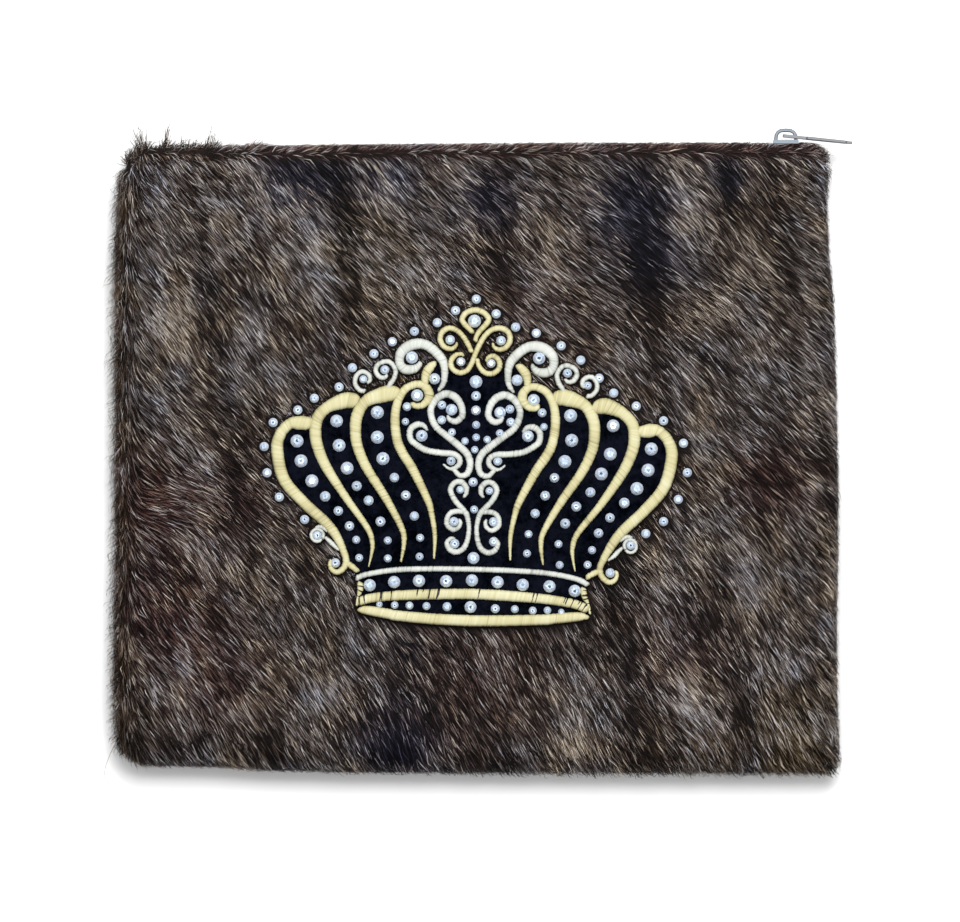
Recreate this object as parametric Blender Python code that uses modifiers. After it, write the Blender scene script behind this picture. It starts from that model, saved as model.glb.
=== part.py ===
"""Flat zip bag of short-haired hide with a crown worked on its front.

Metres, +Z up. The bag lies on its back: +Y points to the zip, +X to the end where the slider
stops. The crown's strokes are charted on squares, as an embroiderer's pattern is.
"""

import math

import bmesh
import bpy
from mathutils import Matrix, Vector

MM = 0.001

# Bag
BOTTOM_WIDTH = 321 * MM
TOP_WIDTH = 314 * MM
HEIGHT = 277 * MM
CORNER_RADIUS = 11 * MM
THICKNESS = 30 * MM
WALL = 3 * MM
RIM_WIDTH = 14 * MM
FRONT_RIM_RISE = 13 * MM
FRONT_DOME = 2 * MM
STRIP_DEPTH = 4.4 * MM
GAP = 0.3 * MM
MID = THICKNESS / 2

# Zip
ZIP_LENGTH = 290 * MM
ZIP_SLOT = 4.8 * MM
TAPE_WIDTH = 11 * MM
TAPE_DEPTH = 5.2 * MM
TAPE_THICKNESS = 1 * MM
TEETH_WIDTH = 3.8 * MM
TEETH_DEPTH = 3.6 * MM
SLIDER_X = 137.1 * MM
SLIDER_LENGTH = 11 * MM
SLIDER_WIDTH = 8 * MM
SLIDER_PLATE = 1.6 * MM
BAIL_WIRE = 1.6 * MM
BAIL_TOP = 7.1 * MM
PIVOT_X = 136.4 * MM
PIVOT_RISE = 3.8 * MM
TAB_LENGTH = 30.2 * MM
TAB_WIDTH = 9 * MM
TAB_THICKNESS = 1.3 * MM
TAB_EYE = 9 * MM
TAB_ARM = 1.5 * MM
TAB_SLOPE = math.radians(-6)

# Crown
CROWN_WIDTH = 180.7 * MM
CHART_WIDTH = 408
SQUARE = CROWN_WIDTH / CHART_WIDTH
CROWN_X = -0.9 * MM
CROWN_Y = 136.9 * MM
CROWN_AXIS = 0.7
CROWN_LEAN = math.radians(1.3)
CREST_AXIS = 0.5
PATCH_THICKNESS = 1.5 * MM
STITCH_HEIGHT = 2.2 * MM
STITCH_SHOULDER = 0.5
STITCH_EASE = 0.85
STROKE_STEP = 4.6 * MM
STONE_SIDES = 8
STONE_HEIGHT = 3 * MM
STONE_TABLE = 0.55
STONE_ROOT = 0.5 * MM
STONE_EASE = 0.85
OUTER_STONE = 9 * SQUARE
OUTER_STONE_HEIGHT = 2.4 * MM

# The whole model's box is centred on the origin: the bag's own middle line lies left of it,
# because the pull tab reaches past the right-hand side.
TAB_TIP = PIVOT_X + TAB_LENGTH * math.cos(TAB_SLOPE) - TAB_THICKNESS / 2 * math.sin(TAB_SLOPE)
BAG_X = -(TAB_TIP - BOTTOM_WIDTH / 2) / 2
BAG_Y = -(HEIGHT + BAIL_TOP) / 2

# Strokes of the left half: out from the crown's middle line, up from its centre, and width,
# all in chart squares.
RIB_1 = [
    (164, 38, 11), (175, 37, 14), (186, 36, 12), (195, 26, 12), (197, 11, 12), (189, -18, 12.5),
    (171.5, -42, 11), (149.5, -62, 10), (137, -75, 9), (130.4, -91.5, 6.6), (129, -102, 6),
    (134, -111, 5.5), (143, -111.5, 5),
]
RIB_2 = [
    (117, 60, 11), (130, 58, 15), (146, 52, 13), (157.5, 42, 12), (159.5, 26, 12),
    (155, 10, 11), (147.3, -9, 9.8), (129, -39, 7.5), (107, -68, 6), (102, -83, 4.4),
    (106, -104, 2),
]
RIB_3 = [
    (76, 66, 11), (90, 64, 15), (108, 58, 13), (118, 44, 12), (119.4, 26, 11), (116.4, 11, 10),
    (107.6, -9, 9), (89.3, -39, 7.5), (72.4, -68, 6), (70.2, -83, 4.7), (73.2, -102, 2),
]
RIB_4 = [
    (62.5, 56.5, 4), (52.4, 55.5, 5.4), (44.8, 64, 9), (49, 73, 8), (58, 75, 7),
    (70, 70.4, 7.5), (77.5, 58, 7.5), (79.8, 41, 8.5), (78, 21, 9), (72.4, 7, 8.5),
    (62.2, -9, 7.5), (47.5, -39, 6), (43, -53, 5.5), (40, -75, 4.4), (41, -99, 2),
]
INNER_CURL = [(40.2, 97, 4), (45.3, 92, 8), (49.4, 85, 6), (50, 74, 5)]
RIB_FOOT = [(128, -101, 6), (122, -105, 6), (116, -108.5, 4)]
CREST_LOOP = [
    (-1, 114, 4), (2.5, 124, 5), (9, 131, 5.7), (13.6, 139, 5.7), (10.5, 146, 5.7),
    (-2, 150, 5.7),
]
CREST_UPPER = [
    (0.8, 107.5, 5.4), (5.7, 116.4, 5.4), (12.1, 125.4, 5.4), (19.7, 131.1, 5.4),
    (27.4, 131.7, 5.4), (33.8, 126.6, 5.4), (34.4, 119, 5.4), (29.9, 112.6, 5.4), (21, 111, 4.5),
]
CREST_LOWER = [
    (0.6, 111, 5.4), (1.2, 98.6, 5.4), (3.8, 91, 5.4), (12.1, 87, 5.4), (21, 89, 5.4),
    (25.5, 96, 5.4), (22.3, 103, 5.4), (14.6, 105, 4.5),
]
UPPER_RING = [(117, -141, 5), (104, -137.5, 7), (78.3, -134, 9), (41.6, -132.5, 10), (10, -133, 10)]
LOWER_RING = [(117, -147, 5), (95, -153, 7), (78.3, -157, 8), (41.6, -160.5, 9), (10, -161.5, 9)]
RING_END = [(115, -124.5, 5), (115, -134, 5), (117, -143, 5), (116, -150, 4)]
SILVER_BAND = [
    (119.4, -118.6, 5.6), (107.6, -114.2, 5.6), (78.3, -109.8, 5.6), (41.6, -108.8, 5.6),
    (10, -109.1, 5.6),
]
SCROLL = [
    (37.2, 68.5, 3), (31.4, 77.3, 6), (30.6, 92, 8), (35, 103, 9.7), (49, 114.7, 10),
    (63.6, 114.7, 11), (74, 106.7, 10), (75, 96.4, 9), (69.5, 90.5, 8), (59.2, 93.5, 6),
    (54.8, 97.5, 4),
]
CURL_INNER = [
    (84.5, 75, 5), (80.6, 80.2, 5), (79.3, 88.4, 5), (82.7, 95.5, 5), (88.3, 98.3, 5),
    (96.4, 95.5, 5), (99.2, 89.4, 5), (95.9, 83.3, 5), (91.3, 82.5, 4),
]
CURL_OUTER = [
    (109.2, 68.5, 4.8), (114.8, 69.5, 4.8), (119.4, 75, 4.8), (119.4, 81.7, 4.8),
    (115.8, 86.8, 4.8), (111.2, 87.9, 4.8), (106.1, 84.8, 4.8), (105.4, 79.7, 4),
]
S_SCROLL = [
    (25, 39.3, 5), (18.8, 38.3, 7), (12.7, 43, 7), (12.4, 50, 7), (15.2, 57, 7.5),
    (20.8, 63.3, 8), (29, 65.8, 8), (37.1, 62.2, 7.5), (42.2, 55.6, 7), (44.3, 48, 7),
    (42.2, 38.8, 7), (37.7, 31.6, 7), (31, 26, 7), (16.7, 14.5, 7.5), (7.8, 5.6, 7.5),
    (4.9, -4.6, 7), (8, -13.8, 6.5), (15, -15.6, 5.5), (20, -11, 5), (22, -8.6, 4),
]
S_LOBE = [
    (47.3, 29, 3), (51.4, 34.2, 5), (57.6, 35.2, 6.5), (63.2, 32, 6.5), (65.2, 27, 6.5),
    (64.2, 20.4, 6.5), (59.2, 15.6, 6.5), (49, 9.7, 6.5), (34.3, 7, 6.5), (22, 6, 6),
    (15.7, 1.5, 6), (16, -4.5, 5.5), (21.5, -8.6, 4.5), (26.8, -8.2, 3), (32, -4, 2),
]
LOWER_S = [
    (8.1, -33, 5), (8.5, -27.3, 5.8), (13.5, -22.3, 5.8), (19.3, -22.3, 5.8),
    (23.9, -27.3, 5.8), (23.9, -33, 5.8), (19.3, -41.4, 5.8), (12.7, -48.8, 5.8),
    (8.5, -54.6, 5.8), (6.4, -63.7, 5), (6.2, -71.2, 5), (7.9, -81.2, 5.4), (11.8, -88.6, 5.8),
    (18.5, -92, 5.8), (25.1, -89.5, 5.8), (28, -82.8, 4.8),
]
LOWER_BRANCH = [
    (10.5, -52, 5.4), (17.6, -51.3, 5.4), (24.3, -53, 5.4), (28, -58.8, 5.4), (27.6, -65.4, 5.4),
    (21.8, -69.6, 4.8),
]
FOOT_STEM = [(152.5, -79.5, 3), (147, -84, 3), (140.5, -87.5, 2.5)]
FOOT_RING_CENTRE = (157.5, -75.3)
FOOT_RING_RADIUS = 6.3
FOOT_RING_WIDTH = 2.6

# Edge of the velvet ground, left half, top to bottom: out and up in chart squares. The crest's
# edge is mirrored on the crest's own upright line and the rest on the crown's leaning one.
CREST_EDGE = [
    (10, 149.5), (16, 141), (11, 131), (20, 134.5), (29, 135), (37, 128), (38, 118), (35.5, 111.5),
]
CROWN_EDGE = [
    (41, 113.5), (49, 119), (62, 120), (73, 113.5), (81, 101), (89, 101), (98, 98), (103, 89),
    (109, 90.5), (117, 89), (122, 82), (121.5, 73), (119, 66), (131, 65.5), (147, 58),
    (158, 48), (166, 43.5), (177, 44), (188, 42), (200, 30), (203, 12), (198, -10), (192, -24),
    (176, -45.5), (160, -60), (165.5, -72), (162, -82), (154, -84.5), (146, -88), (138, -92),
    (147, -101), (148.5, -111), (142, -115.5), (132, -114), (124, -108.5), (121, -113),
    (123, -120), (118, -125), (119, -141), (118.5, -150), (95, -157.5), (78, -162), (42, -166),
]

# Stones of the left half, which the right half repeats: out, up and diameter in squares.
PAIRED_STONES = [
    (177.7, 18.8, 13), (173.7, -1, 13), (162.9, -21, 13), (149.6, -36.5, 10.5),
    (136.5, -51, 9.5), (125.4, -66, 9.5), (118.6, -79.8, 8), (116, -96.6, 8),
    (138.2, 38.8, 12.7), (135.7, 14.5, 12.8), (127.7, -8.3, 12.8), (118.1, -26.1, 10),
    (106.2, -40.6, 10), (94.4, -61.6, 10), (87.1, -80.5, 8), (87.1, -98.4, 8),
    (97.5, 47.3, 13), (97.5, 22.6, 13), (92, 1.2, 13), (80.5, -17.7, 9.5), (69.2, -35.4, 9.7),
    (60.6, -56.1, 9.3), (54.8, -77.8, 8), (55.4, -96.6, 8), (67.9, 53.1, 8.8),
    (69.5, 38.1, 7.5), (57.3, 64.4, 11), (39.9, 81.1, 9.5), (23.4, 50, 11.5), (33.1, 54.8, 8.8),
    (33.2, 39.8, 8.8), (23.1, 27.5, 8), (53.2, 24, 11.7), (23.9, -1.1, 9), (10, 18.7, 7.5),
    (14.7, -29.8, 8), (21.1, -61.8, 9.6), (20.4, -83.7, 9.6), (63, 102.2, 12.3),
    (90.1, 89.9, 9), (111.5, 80.5, 8), (157.5, -75.3, 9), (139.5, -102.9, 9.5),
    (105.2, -125.2, 12.3), (80.8, -122, 12.3), (56, -120.8, 12.3), (28.9, -121.1, 12.3),
    (95.5, -144.3, 6.5), (80.2, -145, 7.6), (65.5, -145.5, 8), (48.5, -146, 8),
    (28, -146.6, 9),
]
CREST_STONES = [(24.5, 119.9, 9.6), (14.4, 97, 9)]
MIDDLE_STONES = [
    (0.5, 138.5, 13), (-0.9, 78, 12.8), (-1, 63.8, 9.6), (-0.9, 49.4, 9.6), (-1.1, 34.9, 8),
    (-1.1, 22.4, 7.7), (0.3, 10.1, 7.5), (1.9, -22.3, 9.3), (0.9, -39.5, 8), (2.6, -97, 12),
    (3.1, -120.3, 12.3), (4.5, -146.9, 12),
]
# Stones sewn on the hide round the crown, over the top from left to right: out and up.
OUTER_STONES = [
    (170.4, -61.5), (195.5, -37.2), (207.7, -12.9), (210.6, 13.3), (201.6, 37.3), (177, 51.5),
    (160.5, 61.5), (135.8, 72.8), (122.5, 95), (101, 106), (82.6, 118), (60.6, 128.4),
    (37.7, 139), (20.5, 150.1), (-1.3, 160.5), (-21.1, 147.8), (-41.5, 134.5), (-61.2, 126.5),
    (-86, 113.9), (-105.6, 99.5), (-126, 83.5), (-138.5, 66.7), (-161, 53.7), (-188.3, 42),
    (-208.2, 16.6), (-212, -12.8), (-203, -39.5), (-188.3, -61.6), (-172.5, -73.7),
]


def clear_scene():
    for obj in list(bpy.data.objects):
        bpy.data.objects.remove(obj, do_unlink=True)


def linear(channel):
    return channel / 12.92 if channel <= 0.04045 else ((channel + 0.055) / 1.055) ** 2.4


def material(name, colour, roughness, metallic=0.0):
    made = bpy.data.materials.new(name)
    made.use_nodes = True
    shader = made.node_tree.nodes["Principled BSDF"]
    rgb = [linear(int(colour[i:i + 2], 16) / 255) for i in (0, 2, 4)]
    shader.inputs["Base Color"].default_value = (*rgb, 1)
    shader.inputs["Roughness"].default_value = roughness
    shader.inputs["Metallic"].default_value = metallic
    made.diffuse_color = (*rgb, 1)
    return made


def evaluated(obj):
    """Return a plain mesh of the object with its modifiers applied."""
    bpy.context.view_layer.update()
    depsgraph = bpy.context.evaluated_depsgraph_get()
    return bpy.data.meshes.new_from_object(obj.evaluated_get(depsgraph))


def place(name, mesh, finish=None):
    """Add a mesh to the bag as an object of its own."""
    obj = bpy.data.objects.new(name, mesh)
    parts.objects.link(obj)
    obj.parent = bag
    if finish:
        mesh.materials.clear()
        mesh.materials.append(finish)
    return obj


def loft(rings):
    """Join point rings of equal count by quads and close both ends."""
    bm = bmesh.new()
    loops = [[bm.verts.new(point) for point in ring] for ring in rings]
    count = len(loops[0])
    for lower, upper in zip(loops, loops[1:]):
        for i in range(count):
            j = (i + 1) % count
            bm.faces.new((lower[i], lower[j], upper[j], upper[i]))
    bm.faces.new(loops[-1])
    bm.faces.new(tuple(reversed(loops[0])))
    bmesh.ops.recalc_face_normals(bm, faces=bm.faces)
    mesh = bpy.data.meshes.new("loft")
    bm.to_mesh(mesh)
    bm.free()
    return mesh


def fuse(name, meshes, finish, operation="UNION"):
    """Combine closed meshes into one body."""
    base = place(name, meshes[0], finish)
    for number, mesh in enumerate(meshes[1:]):
        other = bpy.data.objects.new(f"{name}_tool_{number}", mesh)
        cutters.objects.link(other)
        other.parent = bag
        step = base.modifiers.new("join", "BOOLEAN")
        step.operation = operation
        step.solver = "EXACT"
        step.object = other
    fused = evaluated(base)
    for step in list(base.modifiers):
        bpy.data.objects.remove(step.object, do_unlink=True)
        base.modifiers.remove(step)
    base.data = fused
    fused.materials.clear()
    fused.materials.append(finish)
    return base


def box_mesh(low, high):
    bm = bmesh.new()
    bmesh.ops.create_cube(bm, size=1)
    size = Vector(high) - Vector(low)
    centre = (Vector(high) + Vector(low)) / 2
    bmesh.ops.transform(
        bm, matrix=Matrix.Translation(centre) @ Matrix.Diagonal((*size, 1)), verts=bm.verts
    )
    mesh = bpy.data.meshes.new("box")
    bm.to_mesh(mesh)
    bm.free()
    return mesh


# Panels and strips of hide


def half_width(y):
    return (BOTTOM_WIDTH + (TOP_WIDTH - BOTTOM_WIDTH) * y / HEIGHT) / 2


def outline(inset):
    """Return the bag's rounded outline, set in by the given distance."""
    radius = max(CORNER_RADIUS - inset, 2 * MM)
    low, high = inset, HEIGHT - inset
    points = []
    corners = [
        (1, low + radius, -90), (1, high - radius, 0), (-1, high - radius, 90),
        (-1, low + radius, 180),
    ]
    arcs = []
    for side, y, start in corners:
        x = side * (half_width(y) - inset - radius)
        arc = []
        for step in range(3):
            turn = math.radians(start + 45 * step)
            arc.append(Vector((x + radius * math.cos(turn), y + radius * math.sin(turn))))
        arcs.append(arc)
    for arc, following, runs in zip(arcs, arcs[1:] + arcs[:1], (7, 8, 7, 8)):
        points.extend(arc)
        points.extend(arc[-1].lerp(following[0], step / runs) for step in range(1, runs))
    return points


def dome(x, y):
    across = 1 - (x / half_width(y)) ** 2
    along = 1 - ((y - HEIGHT / 2) / (HEIGHT / 2)) ** 2
    return FRONT_DOME * max(across, 0) * max(along, 0)


def front_z(x, y):
    """Height of the front panel's outer face inside its rim."""
    return MID + FRONT_RIM_RISE + dome(x, y)


def half_tray(side, rise):
    """Loft one wall of the bag from below the middle seam over its rim, and give it thickness."""
    rings = [(0, -WALL)]
    for angle in (0, 25, 48, 70, 90):
        turn = math.radians(angle)
        rings.append((RIM_WIDTH * (1 - math.cos(turn)), rise * math.sin(turn)))
    rings += [(inset * MM, rise) for inset in (40, 70, 100, 125)]
    swelling = 1 if side > 0 else 0
    sections = [
        [(p.x, p.y, MID + side * (height + swelling * dome(p.x, p.y))) for p in outline(inset)]
        for inset, height in rings
    ]
    shell = bpy.data.objects.new("shell", loft(sections))
    # The loft closes both ends; the wide one at the middle seam is the open mouth.
    bm = bmesh.new()
    bm.from_mesh(shell.data)
    mouth = max(bm.faces, key=lambda face: face.calc_area())
    bmesh.ops.delete(bm, geom=[mouth], context="FACES_ONLY")
    bm.to_mesh(shell.data)
    bm.free()
    parts.objects.link(shell)
    wall = shell.modifiers.new("wall", "SOLIDIFY")
    wall.thickness = WALL
    wall.offset = -1
    wall.use_even_offset = True
    solid = evaluated(shell)
    bpy.data.objects.remove(shell, do_unlink=True)
    return solid


def build_hide():
    seam = HEIGHT - STRIP_DEPTH
    reach = 400 * MM
    for name, side, rise in (("front", 1, FRONT_RIM_RISE), ("back", -1, MID)):
        tray = half_tray(side, rise)
        past_seam = sorted((MID + side * GAP / 2, MID - side * reach))
        beyond = box_mesh((-reach, -reach, past_seam[0]), (reach, reach, past_seam[1]))
        below = box_mesh((-reach, seam - GAP / 2, -reach), (reach, reach, reach))
        panel = fuse(f"{name}_panel", [tray.copy(), beyond.copy(), below], hide, "DIFFERENCE")
        above = box_mesh((-reach, -reach, -reach), (reach, seam + GAP / 2, reach))
        slot_end = ZIP_LENGTH / 2 + GAP
        slot = box_mesh((-slot_end, 0, MID - ZIP_SLOT / 2), (slot_end, reach, MID + ZIP_SLOT / 2))
        fuse(f"top_strip_{name}", [tray, beyond, above, slot], hide, "DIFFERENCE")
        panel.data.shade_smooth()


# Zip


def build_zip():
    half = ZIP_LENGTH / 2
    tape_top = HEIGHT - TAPE_DEPTH
    tape = box_mesh(
        (-half, tape_top - TAPE_THICKNESS, MID - TAPE_WIDTH / 2),
        (half, tape_top, MID + TAPE_WIDTH / 2),
    )
    place("zip_tape", tape, webbing)
    row = box_mesh(
        (-half, tape_top + GAP, MID - TEETH_WIDTH / 2),
        (half, tape_top + GAP + TEETH_DEPTH, MID + TEETH_WIDTH / 2),
    )
    bm = bmesh.new()
    bm.from_mesh(row)
    long_edges = [e for e in bm.edges if abs(e.verts[0].co.x - e.verts[1].co.x) > half]
    bmesh.ops.bevel(bm, geom=long_edges, offset=1 * MM, segments=1, affect="EDGES")
    bm.to_mesh(row)
    bm.free()
    place("zip_teeth", row, brass)
    build_slider(tape_top + GAP + TEETH_DEPTH + GAP)


def curve_mesh(points, radius):
    """Make a wire along the points, welded into one closed mesh."""
    data = bpy.data.curves.new("wire", "CURVE")
    data.dimensions = "3D"
    data.bevel_depth = radius
    data.bevel_resolution = 1
    data.use_fill_caps = True
    spline = data.splines.new("POLY")
    spline.points.add(len(points) - 1)
    for point, place_at in zip(spline.points, points):
        point.co = (*place_at, 1)
    obj = bpy.data.objects.new("wire", data)
    parts.objects.link(obj)
    mesh = evaluated(obj)
    bpy.data.objects.remove(obj, do_unlink=True)
    bm = bmesh.new()
    bm.from_mesh(mesh)
    bmesh.ops.remove_doubles(bm, verts=bm.verts, dist=0.01 * MM)
    bmesh.ops.recalc_face_normals(bm, faces=bm.faces)
    bm.to_mesh(mesh)
    bm.free()
    return mesh


def build_slider(keel_bottom):
    half = SLIDER_LENGTH / 2
    plate_bottom = HEIGHT + GAP
    plate_top = plate_bottom + SLIDER_PLATE
    plate = box_mesh(
        (SLIDER_X - half, plate_bottom, MID - SLIDER_WIDTH / 2),
        (SLIDER_X + half, plate_top, MID + SLIDER_WIDTH / 2),
    )
    keel = box_mesh(
        (SLIDER_X - half + MM, keel_bottom, MID - TEETH_WIDTH / 2),
        (SLIDER_X + half - MM, plate_bottom + MM / 2, MID + TEETH_WIDTH / 2),
    )
    rise = BAIL_TOP - BAIL_WIRE / 2 - (plate_top - HEIGHT)
    span = half - BAIL_WIRE / 2 - 0.2 * MM
    arch = [(SLIDER_X - span, plate_top - MM, MID)]
    for step in range(9):
        turn = math.pi - math.pi * step / 8
        # A flattened arch: square-shouldered, as a stamped bail is.
        x = math.copysign(abs(math.cos(turn)) ** 0.7, math.cos(turn))
        arch.append((SLIDER_X + span * x, plate_top + rise * math.sin(turn) ** 0.7, MID))
    arch.append((SLIDER_X + span, plate_top - MM, MID))
    fuse("slider", [plate, keel, curve_mesh(arch, BAIL_WIRE / 2)], nickel)

    # The pull tab is drawn along +X from its pivot, then sloped about it.
    half_tab = TAB_WIDTH / 2
    thick = TAB_THICKNESS / 2
    arm = BAIL_WIRE / 2 + 0.5 * MM
    blade = box_mesh((-thick, -thick, -half_tab), (TAB_LENGTH, thick, half_tab))
    bm = bmesh.new()
    bm.from_mesh(blade)
    ends = [
        e for e in bm.edges
        if abs(e.verts[0].co.y - e.verts[1].co.y) > thick and e.verts[0].co.x > TAB_EYE
    ]
    bmesh.ops.bevel(bm, geom=ends, offset=half_tab * 0.6, segments=4, affect="EDGES")
    bm.to_mesh(blade)
    bm.free()
    eye = box_mesh((thick, -MM * 2, -arm), (TAB_EYE, MM * 2, arm))
    waist = []
    for side in (1, -1):
        near, far = sorted((side * (arm + TAB_ARM), side * TAB_WIDTH))
        waist.append(box_mesh((-MM, -MM * 2, near), (TAB_EYE + MM, MM * 2, far)))
    tab = fuse("pull_tab", [blade, eye, *waist], nickel, "DIFFERENCE")
    tab.location = (PIVOT_X, HEIGHT + PIVOT_RISE, MID)
    tab.rotation_euler = (0, 0, TAB_SLOPE)


# Crown


def chart(out, up):
    """Bag coordinates of a chart square on the crown's left half."""
    return Vector((CROWN_X - out * SQUARE, CROWN_Y + up * SQUARE))


def mirrored(rows, axis=CROWN_AXIS, lean=CROWN_LEAN):
    """Reflect chart rows across the crown's leaning middle line."""
    turned = []
    for out, up, *rest in rows:
        across = out - axis
        new_out = -across * math.cos(2 * lean) - up * math.sin(2 * lean) + axis
        new_up = up * math.cos(2 * lean) - across * math.sin(2 * lean)
        turned.append((new_out, new_up, *rest))
    return turned


def smooth(rows, closed=False):
    """Run a smooth curve through the rows, with points at an even spacing."""
    points = [Vector((*chart(out, up), width * SQUARE * STITCH_EASE)) for out, up, width in rows]
    count = len(points)
    spans = count if closed else count - 1
    samples = []
    for i in range(spans):
        if closed:
            before, start, end, after = (points[(i + k) % count] for k in (-1, 0, 1, 2))
        else:
            start, end = points[i], points[i + 1]
            before = points[i - 1] if i else start * 2 - end
            after = points[i + 2] if i + 2 < count else end * 2 - start
        length = (end - start).xy.length
        steps = max(1, round(length / STROKE_STEP))
        for step in range(steps):
            t = step / steps
            samples.append(0.5 * (
                2 * start + (end - before) * t
                + (2 * before - 5 * start + 4 * end - after) * t * t
                + (3 * start - before - 3 * end + after) * t ** 3
            ))
    if not closed:
        samples.append(points[-1])
    return samples


def stroke(rows, closed=False):
    """Sweep a padded satin stitch's section along the rows."""
    samples = smooth(rows, closed)
    count = len(samples)
    lift = PATCH_THICKNESS + 2 * GAP
    sections = []
    for i, point in enumerate(samples):
        if closed:
            ahead, behind = samples[(i + 1) % count], samples[i - 1]
        else:
            ahead, behind = samples[min(i + 1, count - 1)], samples[max(i - 1, 0)]
        along = (ahead - behind).xy.normalized()
        side = Vector((-along.y, along.x))
        half = point.z / 2
        section = []
        for offset, height in (
            (-half, 0), (-half * STITCH_SHOULDER, 1), (half * STITCH_SHOULDER, 1), (half, 0)
        ):
            spot = point.xy + side * offset
            z = front_z(*spot) + lift + STITCH_HEIGHT * height
            section.append((*spot, z))
        sections.append(section)
    if not closed:
        return loft(sections)
    bm = bmesh.new()
    loops = [[bm.verts.new(point) for point in section] for section in sections]
    for lower, upper in zip(loops, loops[1:] + loops[:1]):
        for i in range(4):
            j = (i + 1) % 4
            bm.faces.new((lower[i], lower[j], upper[j], upper[i]))
    bmesh.ops.recalc_face_normals(bm, faces=bm.faces)
    mesh = bpy.data.meshes.new("ring")
    bm.to_mesh(mesh)
    bm.free()
    return mesh


def across(rows):
    """Continue a left-hand band over the middle line to its mirrored end."""
    return rows + list(reversed(mirrored(rows)))


def add_stone(bm, centre, diameter, bottom, top):
    """Add a stone with a table and one facet on each of its sides."""
    radius = diameter / 2
    height = top - bottom
    place_at = Matrix.Translation((*centre, bottom + height / 2))
    bmesh.ops.create_cone(
        bm, cap_ends=True, segments=STONE_SIDES, radius1=radius, radius2=radius * STONE_TABLE,
        depth=height, matrix=place_at,
    )


def build_patch():
    """Cut the velvet ground from a sheet that follows the front, and set its stones."""
    edge = (
        CREST_EDGE + CROWN_EDGE + list(reversed(mirrored(CROWN_EDGE)))
        + list(reversed(mirrored(CREST_EDGE, CREST_AXIS, 0)))
    )
    bm = bmesh.new()
    face = bm.faces.new([bm.verts.new((*chart(out, up), MID)) for out, up in edge])
    grown = bmesh.ops.extrude_face_region(bm, geom=[face])
    top = [item for item in grown["geom"] if isinstance(item, bmesh.types.BMVert)]
    bmesh.ops.translate(bm, vec=(0, 0, THICKNESS), verts=top)
    bmesh.ops.recalc_face_normals(bm, faces=bm.faces)
    prism = bpy.data.meshes.new("prism")
    bm.to_mesh(prism)
    bm.free()

    bm = bmesh.new()
    bmesh.ops.create_grid(bm, x_segments=12, y_segments=9, size=1)
    for vert in bm.verts:
        spot = Vector((CROWN_X + vert.co.x * 102 * MM, CROWN_Y - 3 * MM + vert.co.y * 80 * MM))
        vert.co = (*spot, front_z(*spot) + GAP)
    grown = bmesh.ops.extrude_face_region(bm, geom=bm.faces[:])
    top = [item for item in grown["geom"] if isinstance(item, bmesh.types.BMVert)]
    bmesh.ops.translate(bm, vec=(0, 0, PATCH_THICKNESS), verts=top)
    bmesh.ops.recalc_face_normals(bm, faces=bm.faces)
    sheet = bpy.data.meshes.new("sheet")
    bm.to_mesh(sheet)
    bm.free()
    patch = fuse("crown_patch", [sheet, prism], velvet, "INTERSECT")

    rows = PAIRED_STONES + mirrored(PAIRED_STONES) + CREST_STONES
    rows += mirrored(CREST_STONES, CREST_AXIS, 0) + MIDDLE_STONES
    bm = bmesh.new()
    for out, up, diameter in rows:
        spot = chart(out, up)
        surface = front_z(*spot) + GAP + PATCH_THICKNESS
        width = diameter * SQUARE * STONE_EASE
        add_stone(bm, spot, width, surface - STONE_ROOT, surface + STONE_HEIGHT)
    stones = bpy.data.meshes.new("stones")
    bm.to_mesh(stones)
    bm.free()
    ground = patch.data
    bpy.data.objects.remove(patch, do_unlink=True)
    fuse("crown_patch", [ground, stones], velvet)


def build_embroidery():
    for side, turn in (("left", lambda rows: rows), ("right", mirrored)):
        ribs = [RIB_4, RIB_3, RIB_2, RIB_1, INNER_CURL, RIB_FOOT]
        fuse(f"gold_ribs_{side}", [stroke(turn(rows)) for rows in ribs], gold)
        place(f"silver_scroll_{side}", stroke(turn(SCROLL)), silver)
        place(f"silver_curl_inner_{side}", stroke(turn(CURL_INNER)), silver)
        place(f"silver_curl_outer_{side}", stroke(turn(CURL_OUTER)), silver)
        fuse(f"silver_s_{side}", [stroke(turn(S_SCROLL)), stroke(turn(S_LOBE))], silver)
        fuse(f"silver_lower_{side}", [stroke(turn(LOWER_S)), stroke(turn(LOWER_BRANCH))], silver)
        ring = []
        for step in range(8):
            angle = math.tau * step / 8
            ring.append((
                FOOT_RING_CENTRE[0] + FOOT_RING_RADIUS * math.cos(angle),
                FOOT_RING_CENTRE[1] + FOOT_RING_RADIUS * math.sin(angle), FOOT_RING_WIDTH,
            ))
        foot = [stroke(turn(ring), closed=True), stroke(turn(FOOT_STEM))]
        fuse(f"silver_foot_{side}", foot, silver)
    crest = [CREST_UPPER, CREST_LOWER, CREST_LOOP]
    crest += [mirrored(rows, CREST_AXIS, 0) for rows in crest]
    fuse("gold_crest", [stroke(rows) for rows in crest], gold)
    rim = [across(UPPER_RING), across(LOWER_RING), RING_END, mirrored(RING_END)]
    fuse("gold_rim", [stroke(rows) for rows in rim], gold)
    place("silver_band", stroke(across(SILVER_BAND)), silver)


def build_outer_stones():
    for number, (out, up) in enumerate(OUTER_STONES, start=1):
        spot = chart(out, up)
        surface = front_z(*spot) + GAP
        bm = bmesh.new()
        add_stone(bm, spot, OUTER_STONE, surface, surface + OUTER_STONE_HEIGHT)
        mesh = bpy.data.meshes.new("stone")
        bm.to_mesh(mesh)
        bm.free()
        place(f"outer_stone_{number:02d}", mesh, crystal)


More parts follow.
